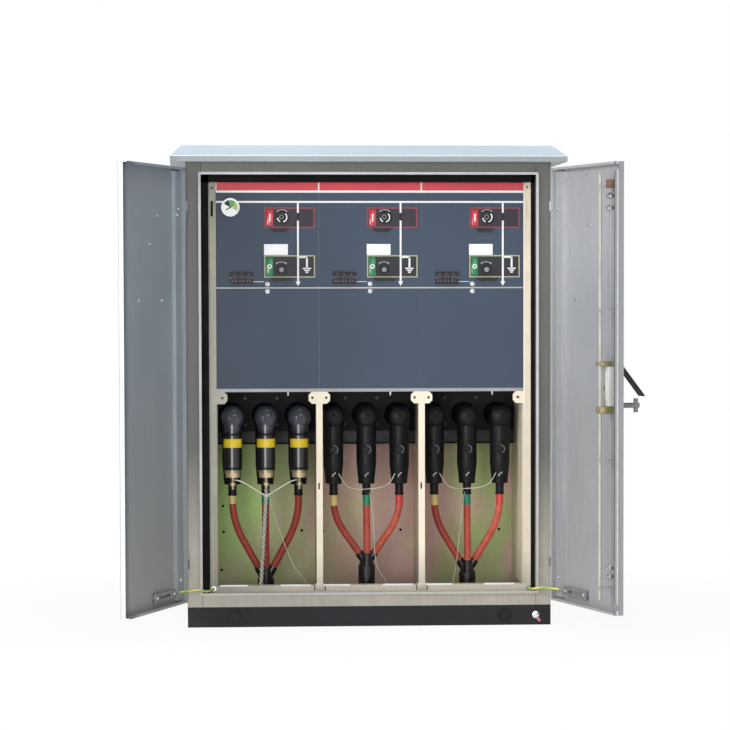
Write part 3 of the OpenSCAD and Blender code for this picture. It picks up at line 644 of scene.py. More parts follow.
def core_route(bay, phase):
    """Middle line of one core from its neck down to its boot"""
    x, low = PLUGS[bay], BOOTS[bay]
    if phase == 0:
        reach = 1.87 * CORE_R
        return [Vector((x, LEG_Y - reach + d, z)) for d, z in stepped(reach, NECK_Z, low)]
    finger = 1.1 * CORE_R + 12 * MM
    reach, top = PHASE - finger, NECK_Z - 14 * MM
    drop = top - low
    bend = 0.8 * (reach ** 2 + drop ** 2) / (2 * reach)
    angle = math.atan2(drop, bend - reach) - math.acos(bend / math.hypot(bend - reach, drop))
    flat = [(reach, NECK_Z)]
    for k in range(13):
        a = angle * k / 12
        flat.append((reach - bend * (1 - math.cos(a)), top - bend * math.sin(a)))
    flat.append((0, low))
    return [Vector((x + phase * (finger + d), LEG_Y, z)) for d, z in flat]


def first_part(route, length):
    """The start of a route, cut at a length"""
    kept, left = [route[0]], length
    for a, b in zip(route, route[1:]):
        step = (b - a).length
        if step >= left:
            return kept + [a + (b - a) * (left / step)]
        kept.append(b)
        left -= step
    return kept


# Geometry Nodes


def node_tree(name, sockets):
    tree = bpy.data.node_groups.new(name, "GeometryNodeTree")
    for label, kind in sockets:
        tree.interface.new_socket(name=label, in_out="INPUT", socket_type=kind)
    tree.interface.new_socket(name="Geometry", in_out="OUTPUT", socket_type="NodeSocketGeometry")
    return tree, tree.nodes.new("NodeGroupInput"), tree.nodes.new("NodeGroupOutput")


def close_tree(tree, source, geometry, output):
    """Every tree ends in real geometry with its finish"""
    real = add(tree, "GeometryNodeRealizeInstances", {"Geometry": geometry})
    dressed = add(tree, "GeometryNodeSetMaterial", {
        "Geometry": real.outputs["Geometry"], "Material": source.outputs["Finish"]})
    tree.links.new(dressed.outputs["Geometry"], output.inputs["Geometry"])


def fastener_tree(head):
    """Heads set on points: a washer with a hex nut, or a domed screw, turned to face outwards"""
    tree, source, output = node_tree("fasteners_" + head, [
        ("Geometry", "NodeSocketGeometry"), ("Finish", "NodeSocketMaterial"),
        ("Washer", "NodeSocketFloat"), ("Height", "NodeSocketFloat")])
    join = tree.nodes.new("GeometryNodeJoinGeometry")

    def lift(geometry, height, scale=(1, 1, 1)):
        moved = add(tree, "GeometryNodeTransform", {
            "Geometry": geometry, "Translation": (0, 0, height), "Scale": scale})
        tree.links.new(moved.outputs["Geometry"], join.inputs["Geometry"])

    washer = add(tree, "GeometryNodeMeshCylinder", {
        "Vertices": 20, "Radius": source.outputs["Washer"], "Depth": 0.24})
    lift(washer.outputs["Mesh"], 0.12)
    if head == "hex":
        nut = add(tree, "GeometryNodeMeshCylinder", {
            "Vertices": 6, "Radius": 1.0, "Depth": source.outputs["Height"]})
        lift(nut.outputs["Mesh"], 0.6)
        tip = add(tree, "GeometryNodeMeshCylinder", {"Vertices": 14, "Radius": 0.52, "Depth": 1.5})
        lift(tip.outputs["Mesh"], 0.95)
    else:
        dome = add(tree, "GeometryNodeMeshUVSphere", {"Segments": 18, "Rings": 10, "Radius": 1.0})
        lift(dome.outputs["Mesh"], 0.2, (1, 1, 0.8))
    facing = add(tree, "GeometryNodeInputNamedAttribute", {"Name": "facing"}, data_type="FLOAT_VECTOR")
    radius = add(tree, "GeometryNodeInputNamedAttribute", {"Name": "head_radius"}, data_type="FLOAT")
    turn = add(tree, "FunctionNodeAlignRotationToVector", {"Vector": facing.outputs["Attribute"]}, axis="Z")
    placed = add(tree, "GeometryNodeInstanceOnPoints", {
        "Points": source.outputs["Geometry"], "Instance": join.outputs["Geometry"],
        "Rotation": turn.outputs["Rotation"], "Scale": radius.outputs["Attribute"]})
    close_tree(tree, source, placed.outputs["Instances"], output)
    return tree


def braid_tree():
    """Two strands that turn round each other along a route"""
    tree, source, output = node_tree("braid", [
        ("Geometry", "NodeSocketGeometry"), ("Finish", "NodeSocketMaterial"),
        ("Strand radius", "NodeSocketFloat"), ("Lay", "NodeSocketFloat")])
    route = add(tree, "GeometryNodeMeshToCurve", {"Mesh": source.outputs["Geometry"]})
    even = add(tree, "GeometryNodeResampleCurve", {
        "Curve": route.outputs["Curve"], "Length": 2 * MM}, mode="LENGTH")
    along = tree.nodes.new("GeometryNodeSplineParameter").outputs["Length"]
    turn = math_node(tree, "MULTIPLY", math_node(tree, "DIVIDE", along, source.outputs["Lay"]), 2 * math.pi)
    normal = tree.nodes.new("GeometryNodeInputNormal").outputs["Normal"]
    tangent = tree.nodes.new("GeometryNodeInputTangent").outputs["Tangent"]
    cross = add(tree, "ShaderNodeVectorMath", operation="CROSS_PRODUCT")
    tree.links.new(normal, cross.inputs[0])
    tree.links.new(tangent, cross.inputs[1])
    radius = source.outputs["Strand radius"]
    ring = add(tree, "GeometryNodeCurvePrimitiveCircle", {"Resolution": 8, "Radius": radius})
    join = tree.nodes.new("GeometryNodeJoinGeometry")
    for phase in (0.0, math.pi):
        angle = math_node(tree, "ADD", turn, phase)
        offset = None
        for axis, operation in ((normal, "COSINE"), (cross.outputs["Vector"], "SINE")):
            reach = math_node(tree, "MULTIPLY", math_node(tree, operation, angle), radius)
            scaled = add(tree, "ShaderNodeVectorMath", operation="SCALE")
            tree.links.new(axis, scaled.inputs[0])
            tree.links.new(reach, scaled.inputs["Scale"])
            if offset is None:
                offset = scaled.outputs["Vector"]
            else:
                total = add(tree, "ShaderNodeVectorMath", operation="ADD")
                tree.links.new(offset, total.inputs[0])
                tree.links.new(scaled.outputs["Vector"], total.inputs[1])
                offset = total.outputs["Vector"]
        strand = add(tree, "GeometryNodeSetPosition", {"Geometry": even.outputs["Curve"], "Offset": offset})
        swept = add(tree, "GeometryNodeCurveToMesh", {
            "Curve": strand.outputs["Geometry"], "Profile Curve": ring.outputs["Curve"], "Fill Caps": True})
        tree.links.new(swept.outputs["Mesh"], join.inputs["Geometry"])
    close_tree(tree, source, join.outputs["Geometry"], output)
    return tree


def grow(name, mesh, tree, values, body, angle=38):
    """Runs a tree on a mesh and keeps the result as a plain piece"""
    seed = link_object(name + "_seed", mesh)
    modifier = seed.modifiers.new("grow", "NODES")
    modifier.node_group = tree
    for item in tree.interface.items_tree:
        if item.in_out == "INPUT" and item.name in values:
            modifier[item.identifier] = values[item.name]
    graph = bpy.context.evaluated_depsgraph_get()
    made = bpy.data.meshes.new_from_object(seed.evaluated_get(graph))
    seed.modifiers.remove(modifier)
    bpy.data.objects.remove(seed)
    smooth(made, angle)
    grown = link_object(name, made)
    if not made.polygons:
        raise RuntimeError(f"{name} came out empty")
    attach(grown, body)
    return grown


def fasten(name, body, finish_name, spots, head="pan", washer=1.35, height=0.75):
    """Sets fasteners at spots of place, facing and radius"""
    mesh = bpy.data.meshes.new(name + "_spots")
    mesh.from_pydata([spot[0] for spot in spots], [], [])
    for label, kind, field, index in (("facing", "FLOAT_VECTOR", "vector", 1),
                                      ("head_radius", "FLOAT", "value", 2)):
        kept = mesh.attributes.new(label, kind, "POINT")
        for k, spot in enumerate(spots):
            setattr(kept.data[k], field, spot[index])
    values = {"Finish": finish(finish_name), "Washer": washer, "Height": height}
    return grow(name, mesh, fastener_tree(head), values, body)


# Operators


class SWITCHGEAR_OT_finishes(bpy.types.Operator):
    """Mix the finishes of all sheets, panels, plastics and cables"""
    bl_idname = "switchgear.finishes"
    bl_label = "Mix finishes"

    def execute(self, context):
        scene = context.scene
        sheet, unit, cable = scene.switchgear_sheet, scene.switchgear_unit, scene.switchgear_cable
        self.mix_doors(sheet)
        rows = (self.sheet_rows(sheet) + self.metal_rows() + self.paint_rows(sheet, unit)
                + self.plastic_rows() + self.cable_rows(cable))
        for name, tone, shade, rough, metal, grain, share, cloud, extra in rows:
            coat(name, tone, shade, rough, metal, grain, share, cloud, **extra)
        roofing("roof_sheet", sheet.roof, sheet.roof_edge)
        chromate("chromated_sheet", cable.chromate_green, cable.chromate_rose)
        jacket("core_jacket", cable.core_shade, cable.core_light)
        woven("tinned_braid", cable.wire)
        striped("lead_jacket", (0.70, 0.66, 0.14), (0.12, 0.40, 0.10))
        return {"FINISHED"}

    @staticmethod
    def mix_doors(sheet):
        """Door sheets: painted shade low down and along the lip of one edge, a painted end face, and the
        walls' tone outside
        """
        # Per door: side, finish, tone, painted shade low down, painted end face (lit on the left, shaded on
        # the right) and the lip's painted shadow (full, end, share)
        for side, name, tone, low, rim, (full, none, deep) in (
                (-1, "left_door_sheet", sheet.left_door, (darker(sheet.low_tint, 0.75), UP, 0.05, 0.9, 0.55),
                 (0.68, 0.69, 0.70), (38, 80, 0.4)),
                (1, "right_door_sheet", sheet.right_door,
                 (darker(sheet.right_door, 0.65), UP, 0.7, 1.2, 0.52),
                 darker(sheet.right_door, 0.66), (7, 8.6, 0.1))):
            leaf, inward = leaf_way(side, 1, 0, 0), leaf_way(side, 0, 1, 0)
            edge = leaf.dot(on_leaf(side, FREE_EDGE, 0, 0))
            level = inward.dot(on_leaf(side, 0, OUTER_SKIN, 0))
            edge_light_and_outside = [(rim, tuple(leaf), edge - 0.4 * MM, edge - 1.4 * MM, 1.3),
                    (darker(sheet.walls, 0.8), tuple(inward), level + 0.8 * MM, level + 2.6 * MM, 1.3)]
            # Painted shadow of the lip, along the free edge
            fold = (darker(tone, deep), tuple(leaf), edge - full * MM, edge - none * MM, 0.95)
            # The last veil lies on top: the outside on the left door, the painted end face on the right one
            coat(name, tone, darker(tone, 0.87), 0.5, 0.15, BRUSHED, 0.24, 2.2,
                 veils=[low, fold, *edge_light_and_outside[::-side]])

    @staticmethod
    def sheet_rows(sheet):
        shade = (darker(sheet.frame, 0.78), ALONG, JAMB_HI.x - 1 * MM, JAMB_HI.x, 0.8)
        # Painted light: the paler tint low on the jambs and sill is their lit lower part, below the roof's
        # painted shade
        ground = (sheet.low_tint, UP, 0.24, 0.56, 0.95)
        return [
            ("frame_sheet", sheet.frame, darker(sheet.frame, 0.86), 0.5, 0.15, BRUSHED, 0.25, 3.0,
             {"veils": [shade, ground]}),
            ("wall_sheet", sheet.walls, darker(sheet.walls, 0.92), 0.48, 0.2, BRUSHED, 0.2, 2.0,
             {"veils": [(sheet.low_tint, UP, 0.06, 0.5, 0.9)]}),
            ("seal_sheet", sheet.seal, darker(sheet.seal, 0.8), 0.5, 0.1, (120, 120, 20), 0.2, 5.0,
             {"veils": [(sheet.low_tint, UP, 0.10, 0.5, 0.7)]}),
            ("plinth_coat", sheet.plinth, darker(sheet.plinth, 0.72), 0.6, 0.0, 320, 0.3, 6.0,
             {"relief": 0.25, "specular": 0.2}),
            # Painted highlight along the roof's rounded fold
            ("roof_bend_highlight", (0.86, 0.88, 0.90), (0.78, 0.80, 0.82), 0.3, 0.1, 60, 0.1, 3.0, {}),
        ]

    @staticmethod
    def metal_rows():
        end_veil = ((0.20, 0.16, 0.10), UP, END_HI.z - 26 * MM, END_HI.z - 22 * MM, 0.9)
        return [
            ("zinc", (0.42, 0.43, 0.44), (0.30, 0.31, 0.32), 0.4, 0.6, 180, 0.3, 14.0, {}),
            ("hinge_steel", (0.20, 0.20, 0.195), (0.13, 0.13, 0.128), 0.45, 0.4, 180, 0.3, 20.0, {}),
            ("dull_zinc", (0.10, 0.10, 0.105), (0.07, 0.07, 0.074), 0.5, 0.3, 180, 0.3, 14.0, {}),
            ("stay_steel", (0.36, 0.365, 0.37), (0.24, 0.245, 0.25), 0.42, 0.5, (60, 180, 180), 0.3, 18.0,
             {}),
            ("bright_zinc", (0.72, 0.73, 0.74), (0.52, 0.53, 0.54), 0.26, 0.85, 260, 0.2, 40.0, {}),
            ("pale_zinc", (0.84, 0.85, 0.86), (0.66, 0.67, 0.68), 0.34, 0.35, 260, 0.2, 60.0, {}),
            ("chrome", (0.80, 0.81, 0.83), (0.66, 0.67, 0.69), 0.14, 0.95, 300, 0.1, 30.0, {"relief": 0.03}),
            ("brass", (0.40, 0.34, 0.17), (0.28, 0.24, 0.11), 0.36, 0.6, 260, 0.25, 40.0, {}),
            ("end_brass", (0.66, 0.54, 0.38), (0.52, 0.41, 0.26), 0.32, 0.6, 260, 0.25, 40.0,
             {"veils": [end_veil]}),
        ]

    @staticmethod
    def paint_rows(sheet, unit):
        line, flat = unit.line, {"relief": 0.05}
        return [
            # Cream: the left end post is greyed by painted shade of the left door, and all is darker towards
            # the bottom
            ("cream_coat", unit.cream, darker(unit.cream, 0.88), 0.46, 0.05, (200, 200, 60), 0.18, 5.0,
             {"veils": [(unit.shaded_cream, ALONG, -0.47, -0.24, 1.1),
                        (darker(sheet.low_tint, 0.86), UP, 0.06, 0.24, 0.8)]}),
            # Slate: painted shade darkens the panels towards the left, which the left door shades
            ("slate_coat", unit.slate, darker(unit.slate, 0.88), 0.45, 0.05, 420, 0.16, 2.4,
             {"relief": 0.1, "veils": [(darker(unit.slate, 0.66), ALONG, -0.48, 0.0, 0.8)], "specular": 0.3}),
            ("rod_coat", (0.50, 0.50, 0.43), (0.40, 0.40, 0.34), 0.46, 0.1, (260, 260, 60), 0.2, 12.0, {}),
            ("strip_coat", (0.38, 0.385, 0.41), (0.31, 0.315, 0.335), 0.46, 0.05, (60, 200, 200), 0.18, 9.0,
             {}),
            ("red_coat", unit.red, darker(unit.red, 0.86), 0.42, 0.0, 360, 0.16, 6.0, {}),
            ("rim_coat", unit.rim, darker(unit.rim, 0.8), 0.45, 0.0, 400, 0.15, 20.0, {}),
            ("earth_rim_coat", unit.earth_rim, darker(unit.earth_rim, 0.82), 0.45, 0.0, 400, 0.15, 20.0, {}),
            ("switch_field", unit.switch_field, darker(unit.switch_field, 0.78), 0.5, 0.0, 600, 0.2, 14.0,
             {}),
            ("earth_field", unit.earth_field, darker(unit.earth_field, 0.75), 0.5, 0.0, 600, 0.2, 14.0, {}),
            ("closed_mark", unit.closed, darker(unit.closed, 0.75), 0.3, 0.0, 300, 0.15, 40.0,
             {"gloss": 0.3}),
            ("open_mark", unit.opened, darker(unit.opened, 0.72), 0.3, 0.0, 300, 0.15, 40.0,
             {"gloss": 0.3}),
            ("white_line", line, darker(line, 0.93), 0.5, 0.0, 500, 0.1, 12.0, flat),
            ("faded_line", darker(line, 0.6), darker(line, 0.45), 0.5, 0.0, 500, 0.1, 12.0, flat),
            ("paper", (0.98, 0.985, 0.99), (0.93, 0.935, 0.94), 0.6, 0.0, 700, 0.1, 60.0, flat),
            # Grey of the indicator lamps, and the painted highlight on the test taps
            ("tap_highlight_and_lamp", (0.22, 0.22, 0.23), (0.15, 0.15, 0.16), 0.4, 0.2, 300, 0.2, 60.0, {}),
            ("dial_green", (0.10, 0.46, 0.12), (0.08, 0.36, 0.09), 0.45, 0.0, 500, 0.1, 60.0, {}),
            ("dial_amber", (0.56, 0.58, 0.14), (0.48, 0.50, 0.11), 0.45, 0.0, 500, 0.1, 60.0, {}),
            ("rust_paint", (0.24, 0.12, 0.095), (0.17, 0.085, 0.07), 0.6, 0.0, 300, 0.3, 60.0, {}),
            ("lug_red", (0.56, 0.20, 0.21), (0.44, 0.15, 0.16), 0.4, 0.2, 300, 0.2, 60.0, {}),
            ("tank_black", (0.011, 0.011, 0.012), (0.018, 0.018, 0.020), 0.6, 0.0, 260, 0.25, 6.0,
             {"relief": 0.2, "specular": 0.2}),
            ("tank_edge", (0.085, 0.085, 0.09), (0.055, 0.055, 0.06), 0.5, 0.1, (160, 160, 40), 0.25, 10.0,
             {}),
        ]

    @staticmethod
    def plastic_rows():
        return [
            ("black_plastic", (0.010, 0.010, 0.011), (0.02, 0.02, 0.022), 0.42, 0.0, 600, 0.2, 30.0,
             {"specular": 0.25}),
            ("grey_plastic", (0.27, 0.275, 0.28), (0.20, 0.205, 0.21), 0.45, 0.0, 500, 0.15, 30.0, {}),
            ("lock_grey", (0.62, 0.635, 0.60), (0.53, 0.545, 0.51), 0.42, 0.1, 300, 0.15, 20.0, {}),
            # Black that paints shade in slots, holes and under the tank's flange, and the gap sheets of seal
            # and shade
            ("shade_and_seal_black", (0.006, 0.006, 0.006), (0.010, 0.010, 0.010), 0.8, 0.0, 200, 0.2, 12.0,
             {"specular": 0.1}),
        ]

    @staticmethod
    def cable_rows(cable):
        rubber, dome, wire, wrap = cable.rubber, cable.dome, cable.wire, (300, 300, 90)
        # The arresters' heads take the dome tone above a level: their rubber with a painted sheen
        dome_veil = (dome, UP, PLUG_Z - 34 * MM, PLUG_Z - 46 * MM, 1.0)
        return [
            ("black_rubber", rubber, darker(rubber, 0.62), 0.44, 0.0, 300, 0.25, 16.0,
             {"relief": 0.1, "gloss": 0.04, "specular": 0.18}),
            ("arrester_rubber", rubber, darker(rubber, 0.7), 0.36, 0.0, 300, 0.25, 16.0,
             {"relief": 0.1, "veils": [dome_veil], "gloss": 0.7, "specular": 0.3}),
            # Painted highlight: a brighter rubber for the nubs of the first bay's crown caps
            ("dome_highlight_rubber", darker(dome, 1.5), dome, 0.34, 0.0, 300, 0.25, 30.0, {"gloss": 0.1}),
            ("boot_rubber", darker(rubber, 0.9), darker(rubber, 0.6), 0.3, 0.0, (60, 60, 240), 0.25, 20.0,
             {"gloss": 0.35, "specular": 0.3}),
            ("yellow_band", cable.yellow, darker(cable.yellow, 0.82), 0.42, 0.0, wrap, 0.2, 40.0, {}),
            ("green_band", cable.green, darker(cable.green, 0.8), 0.42, 0.0, wrap, 0.2, 40.0, {}),
            ("red_band", cable.pink, darker(cable.pink, 0.84), 0.42, 0.0, wrap, 0.2, 40.0, {}),
            ("gold_band", (0.66, 0.52, 0.20), (0.52, 0.40, 0.14), 0.42, 0.0, wrap, 0.2, 40.0, {}),
            ("tinned_wire", wire, darker(wire, 0.8), 0.4, 0.2, 400, 0.2, 60.0, {}),
            ("thin_wire", wire, darker(wire, 0.7), 0.4, 0.2, 400, 0.2, 60.0, {}),
        ]


NODE_FINISH = {
    "plinth_coat": ["plinth_front", "plinth_rear", "plinth_sides"],
    "frame_sheet": ["left_jamb", "right_jamb", "header", "sill"],
    "wall_sheet": ["left_wall", "right_wall", "back_wall"],
    "roof_sheet": ["roof"],
    "seal_sheet": ["seal_rail"],
    "zinc": ["floor_plate", "tank_stand", "mechanism_box"],
    "hinge_steel": ["frame_hinges"],
    "cream_coat": ["end_posts", "mid_posts", "bay_partitions", "side_panels", "base_rail"],
    "rod_coat": ["upper_rod", "lower_rod"],
    "strip_coat": ["lower_strip"],
    "chromated_sheet": ["bay_back_panel"],
    "tank_black": ["gas_tank", "tank_back_plate"],
    "red_coat": ["stripe_panels"],
    "slate_coat": ["mimic_panels", "cover_panels"],
    "rim_coat": ["switch_plates"],
    "earth_rim_coat": ["earth_plates"],
    "black_plastic": ["switch_sockets", "earth_sockets", "voltage_indicators", "handle_plate", "lock_cover"],
    "paper": ["pressure_gauge"],
    "black_rubber": ["bay_connectors", "plinth_plugs"],
    "arrester_rubber": ["surge_arresters"],
    "end_brass": ["arrester_ends"],
    "core_jacket": ["cable_cores"],
    "boot_rubber": ["cable_boots"],
    "tinned_braid": ["earth_strap", "arrester_wires", "screen_wires", "drain_wires"],
    "left_door_sheet": ["left_door", "left_stiffener"],
    "right_door_sheet": ["right_door", "right_stiffener", "rod_guides"],
    "stay_steel": ["left_stay", "right_stay"],
    "lock_grey": ["lock_box"],
    "grey_plastic": ["handle"],
    "lead_jacket": ["left_earth_lead", "right_earth_lead"],
}


class SWITCHGEAR_OT_dress(bpy.types.Operator):
    """Give every solid of the frame its finish"""
    bl_idname = "switchgear.dress"
    bl_label = "Dress the frame"

    def execute(self, context):
        left = set(frame["nodes"])
        for name, nodes in NODE_FINISH.items():
            for node in nodes:
                solid = frame["nodes"][node]
                if not solid.material_slots:
                    solid.data.materials.append(finish(name))
                for slot in solid.material_slots:
                    slot.material = finish(name)
                left.discard(node)
        if left:
            raise RuntimeError(f"no finish for {sorted(left)}")
        return {"FINISHED"}


class SWITCHGEAR_OT_cabinet_trim(bpy.types.Operator):
    """Seams, gap sheets of seal and painted shade, roof edge with a painted highlight, and earth bolt of the
    cabinet
    """
    bl_idname = "switchgear.cabinet_trim"
    bl_label = "Cabinet trim"

    def execute(self, context):
        inner = -JAMB_HI.x
        # Black sheets in the gaps beside and above the unit: a seal, with the painted shade of the cabinet's
        # inside
        seals = Shape().use("shade_and_seal_black")
        near, top = HEADER_LO.y + 30 * MM, HEADER_LO.z + 20 * MM
        far = near + 4 * MM
        for side, edge in ((-1, POST_LO.x), (1, POST_HI.x)):
            x0, x1 = sorted((side * (inner - 0.3 * MM), edge))
            seals.block((x0, near, SILL_HI.z - 40 * MM), (x1, far, top))
        seals.block((-inner + 1 * MM, near, POST_HI.z), (inner - 1 * MM, far, top))
        seals.piece("gap_seals_and_shade", "cabinet")

        seams = Shape().use("black_plastic")
        front, sunk = JAMB_LO.y - 0.3 * MM, JAMB_LO.y + 1 * MM
        for x in (-inner, inner):
            for z0, z1 in ((SEAL_HI.z, HEADER_HI.z), (SILL_LO.z, SEAL_LO.z)):
                seams.block((x - 0.7 * MM, front, z0), (x + 0.7 * MM, sunk, z1))
        seams.block((JAMB_LO.x, front, PLINTH_HI.z - 1 * MM), (-JAMB_LO.x, sunk, PLINTH_HI.z + 1 * MM))
        seams.piece("frame_seams", "cabinet")

        # A pale tube round the roof: its rounded fold, with a painted highlight
        edge = Shape().use("roof_bend_highlight")
        r, edge_h, sink = 3.4 * MM, 17 * MM, 1.2 * MM
        z = HEADER_HI.z + edge_h - sink
        corners = [(ROOF_LO.x + r, ROOF_LO.y + r, z), (ROOF_HI.x - r, ROOF_LO.y + r, z),
                   (ROOF_HI.x - r, ROOF_HI.y - r, z), (ROOF_LO.x + r, ROOF_HI.y - r, z)]
        for a, b in zip(corners, corners[1:] + corners[:1]):
            edge.tube([a, b], r, 14)
        edge.piece("roof_fold", "cabinet")

        bolt = Vector((527 * MM, PLINTH_LO.y, 32 * MM))
        slant = math.radians(-56)
        turn = Matrix.Translation(bolt) @ Matrix.Rotation(slant, 4, Vector(FORWARD))
        lug = Shape().use("lug_red").block(mm(6, -3.4, -4.5), mm(25, 0, 4.5), 1.2 * MM, turn)
        head = profile((0, 0), (11, 0), (11, 3), (8.5, 3.4), (8.5, 8), (6, 10), (0, 10.5))
        lug.use("chrome").turned(head, aim(bolt, FORWARD), 28)
        lug.piece("plinth_earth_bolt", "cabinet")
        return {"FINISHED"}


class SWITCHGEAR_OT_unit_trim(bpy.types.Operator):
    """Folds, feet, end walls, slots and holes of the switchgear's frame, and the flange of its tank, with
    painted shade in the slots and holes and under the flange
    """
    bl_idname = "switchgear.unit_trim"
    bl_label = "Unit trim"

    def execute(self, context):
        self.add_folds()
        walls = Shape().use("cream_coat")
        for x in (MODULES[0] + 0.6 * MM, UNIT_RIGHT - 2.6 * MM):
            walls.block((x, FACE_Y + 14 * MM, RAIL_HI.z), (x + 2 * MM, BACK_LO.y, STRIP_LO.z))
        walls.piece("bay_end_walls", "cabinet")
        self.add_slots()

        left, right = TANK_LO.x + 2 * MM, TANK_HI.x - 2 * MM
        lip = TANK_LO.z - 13 * MM
        flange = Shape().use("tank_edge")
        flange.block((left, TANK_LO.y - 5 * MM, lip), (right, TANK_LO.y, TANK_LO.z + 25 * MM), 1.5 * MM)
        # Painted shadow: a black strip under the flange's lip
        flange.use("shade_and_seal_black")
        flange.block((left, TANK_LO.y - 4 * MM, TANK_LO.z - 18 * MM), (right, TANK_LO.y, lip))
        flange.use("bright_zinc")
        stud = profile((0, 0), (2.6, 0.6), (3, 2), (3, 13), (0, 13))
        for x in MODULES:
            flange.turned(stud, aim((x + 226 * MM, FACE_Y + 10 * MM, STRIP_LO.z - 13 * MM), UP), 14)
        flange.piece("tank_flange", "cabinet")
        return {"FINISHED"}

    @staticmethod
    def add_folds():
        """Folded edges of the end posts, feet of the mid posts, pale strips, and dark slits of painted shade
        """
        folds = Shape().use("cream_coat")
        for x0, x1 in ((MODULES[0] - 9 * MM, MODULES[0]), (UNIT_RIGHT, UNIT_RIGHT + 9 * MM)):
            folds.block((x0, FACE_Y - 1.4 * MM, RAIL_HI.z + 2 * MM), (x1, FACE_Y, POST_HI.z), 0.5 * MM)
        for x in MODULES[1:]:
            folds.block((x - 14 * MM, FACE_Y - 2 * MM, RAIL_HI.z - 16 * MM),
                        (x + 14 * MM, FACE_Y, RAIL_HI.z + 6 * MM), 0.6 * MM)
        folds.use("paper")
        for x in MODULES:
            for start, stop in (mm(8, 96), mm(200, 296)):
                folds.block((x + start, FACE_Y - 0.6 * MM, RAIL_HI.z - 3 * MM),
                            (x + stop, FACE_Y + 6 * MM, RAIL_HI.z + 2.5 * MM), 0.5 * MM)
        # Painted shade: black plates stand for the slits in the mid posts' feet and in the partitions
        folds.use("black_plastic")
        slit_front, slit_back, slit_h = -262 * MM, -254 * MM, 30
        for x in MODULES[1:]:
            for middle in (x - 17 * MM, x + 17 * MM):
                folds.block((middle - 1.5 * MM, FACE_Y - 0.4 * MM, RAIL_HI.z - 18 * MM),
                            (middle + 1.5 * MM, FACE_Y + 2 * MM, RAIL_HI.z - 1 * MM))
            for z in (182, 292, 372):
                folds.block((x - 2.2 * MM, slit_front, z * MM), (x - 1.4 * MM, slit_back, (z + slit_h) * MM))
        folds.piece("frame_folds", "cabinet")

    @staticmethod
    def add_slots():
        """Slots and holes in the posts and in the back panel, as black plates and discs of painted shade"""
        slots = Shape().use("shade_and_seal_black")
        front, back = FACE_Y - 0.5 * MM, FACE_Y + 1 * MM
        post_x = POST_LO.x + 12.5 * MM
        slots.block((post_x - 5 * MM, front, 1295 * MM), (post_x + 5 * MM, back, 1344 * MM), 0.4 * MM)
        for x, z in ((post_x, 1385 * MM), (POST_HI.x - 12 * MM, 1388 * MM)):
            slots.turned(disc(3.4 * MM, 0.8 * MM), aim((x, FACE_Y + 0.2 * MM, z), FORWARD), 20)
        for x in MODULES[1:]:
            slots.block((x - 4 * MM, front, 431 * MM), (x + 0.6 * MM, back, 451 * MM), 0.4 * MM)
        for across, rise in ((-0.43, 0.43), (-0.425, 0.304), (0.363, 0.309), (-0.446, 0.119)):
            for x in BAYS:
                middle = (x + across * PITCH, BACK_LO.y + 2 * MM, UNIT_Z + rise * BAY_H)
                slots.turned(disc(4.4 * MM, 1 * MM), aim(middle, FORWARD), 16)
        slots.piece("frame_slots", "cabinet")


class SWITCHGEAR_OT_mimic(bpy.types.Operator):
    """White mimic lines, ticks and arrows on the panels"""
    bl_idname = "switchgear.mimic"
    bl_label = "Mimic lines"

    def execute(self, context):
        trim = context.scene.switchgear_trim
        half, proud = trim.line_w / 2, trim.mark_t
        raised = FACE_Y - PLATE_LO.y + proud
        sunk = FACE_Y + 0.2 * MM
        left, right = MODULES[0] + 1 * MM, UNIT_RIGHT - 1 * MM
        gap_lo, gap_hi = TOP_Z - 94 * MM, TOP_Z - 69.5 * MM
        shoulder, tip = JOINT_Z + 17 * MM, JOINT_Z + 2.5 * MM
        lines = Shape().use("white_line")

        def bar(x0, x1, z0, z1, height=proud):
            lines.block((x0, FACE_Y - height, z0), (x1, sunk, z1))

        bar(left, right, TOP_Z - 6 * MM, TOP_Z + 0.8 * MM)
        bar(left, right, BUS_Z - half, BUS_Z + half)
        for x in MODULES:
            bar(x - 2.2 * MM, x + 2.2 * MM, TOP_Z, STRIPE_HI.z)
            branch = x + BRANCH_X
            bar(branch - half, branch + half, gap_hi, BUS_Z, raised)
            bar(branch - half, branch + half, JOINT_Z + 16 * MM, gap_lo, raised)
            lines.plate([(branch - 8 * MM, shoulder), (branch, tip), (branch + 8 * MM, shoulder)],
                        FACE_Y - proud, sunk)
            lines.use("black_plastic")
            bar(branch - 4 * MM, branch + 4 * MM, gap_lo, gap_hi, raised)
            lines.use("white_line")
            bar(x + 117 * MM, x + 152 * MM, TOP_Z - 287.4 * MM, TOP_Z - 285.8 * MM)
            earth = x + 287 * MM
            bar(branch, earth + half, TOP_Z - 212 * MM, TOP_Z - 206.5 * MM, raised)
            bar(earth - half, earth + half, TOP_Z - 246 * MM, TOP_Z - 208 * MM, raised)
            for width, z in ((13, 243), (8, 249), (4, 255)):
                bar(earth - width * MM, earth + width * MM, TOP_Z - (z + 4) * MM, TOP_Z - z * MM, raised)
        lines.use("seal_sheet")
        lines.block((left, FACE_Y - 1.2 * MM, JOINT_Z - 5.2 * MM),
                    (right, sunk, JOINT_Z - 0.8 * MM), 0.4 * MM)
        lines.piece("mimic_lines", "cabinet")
        return {"FINISHED"}


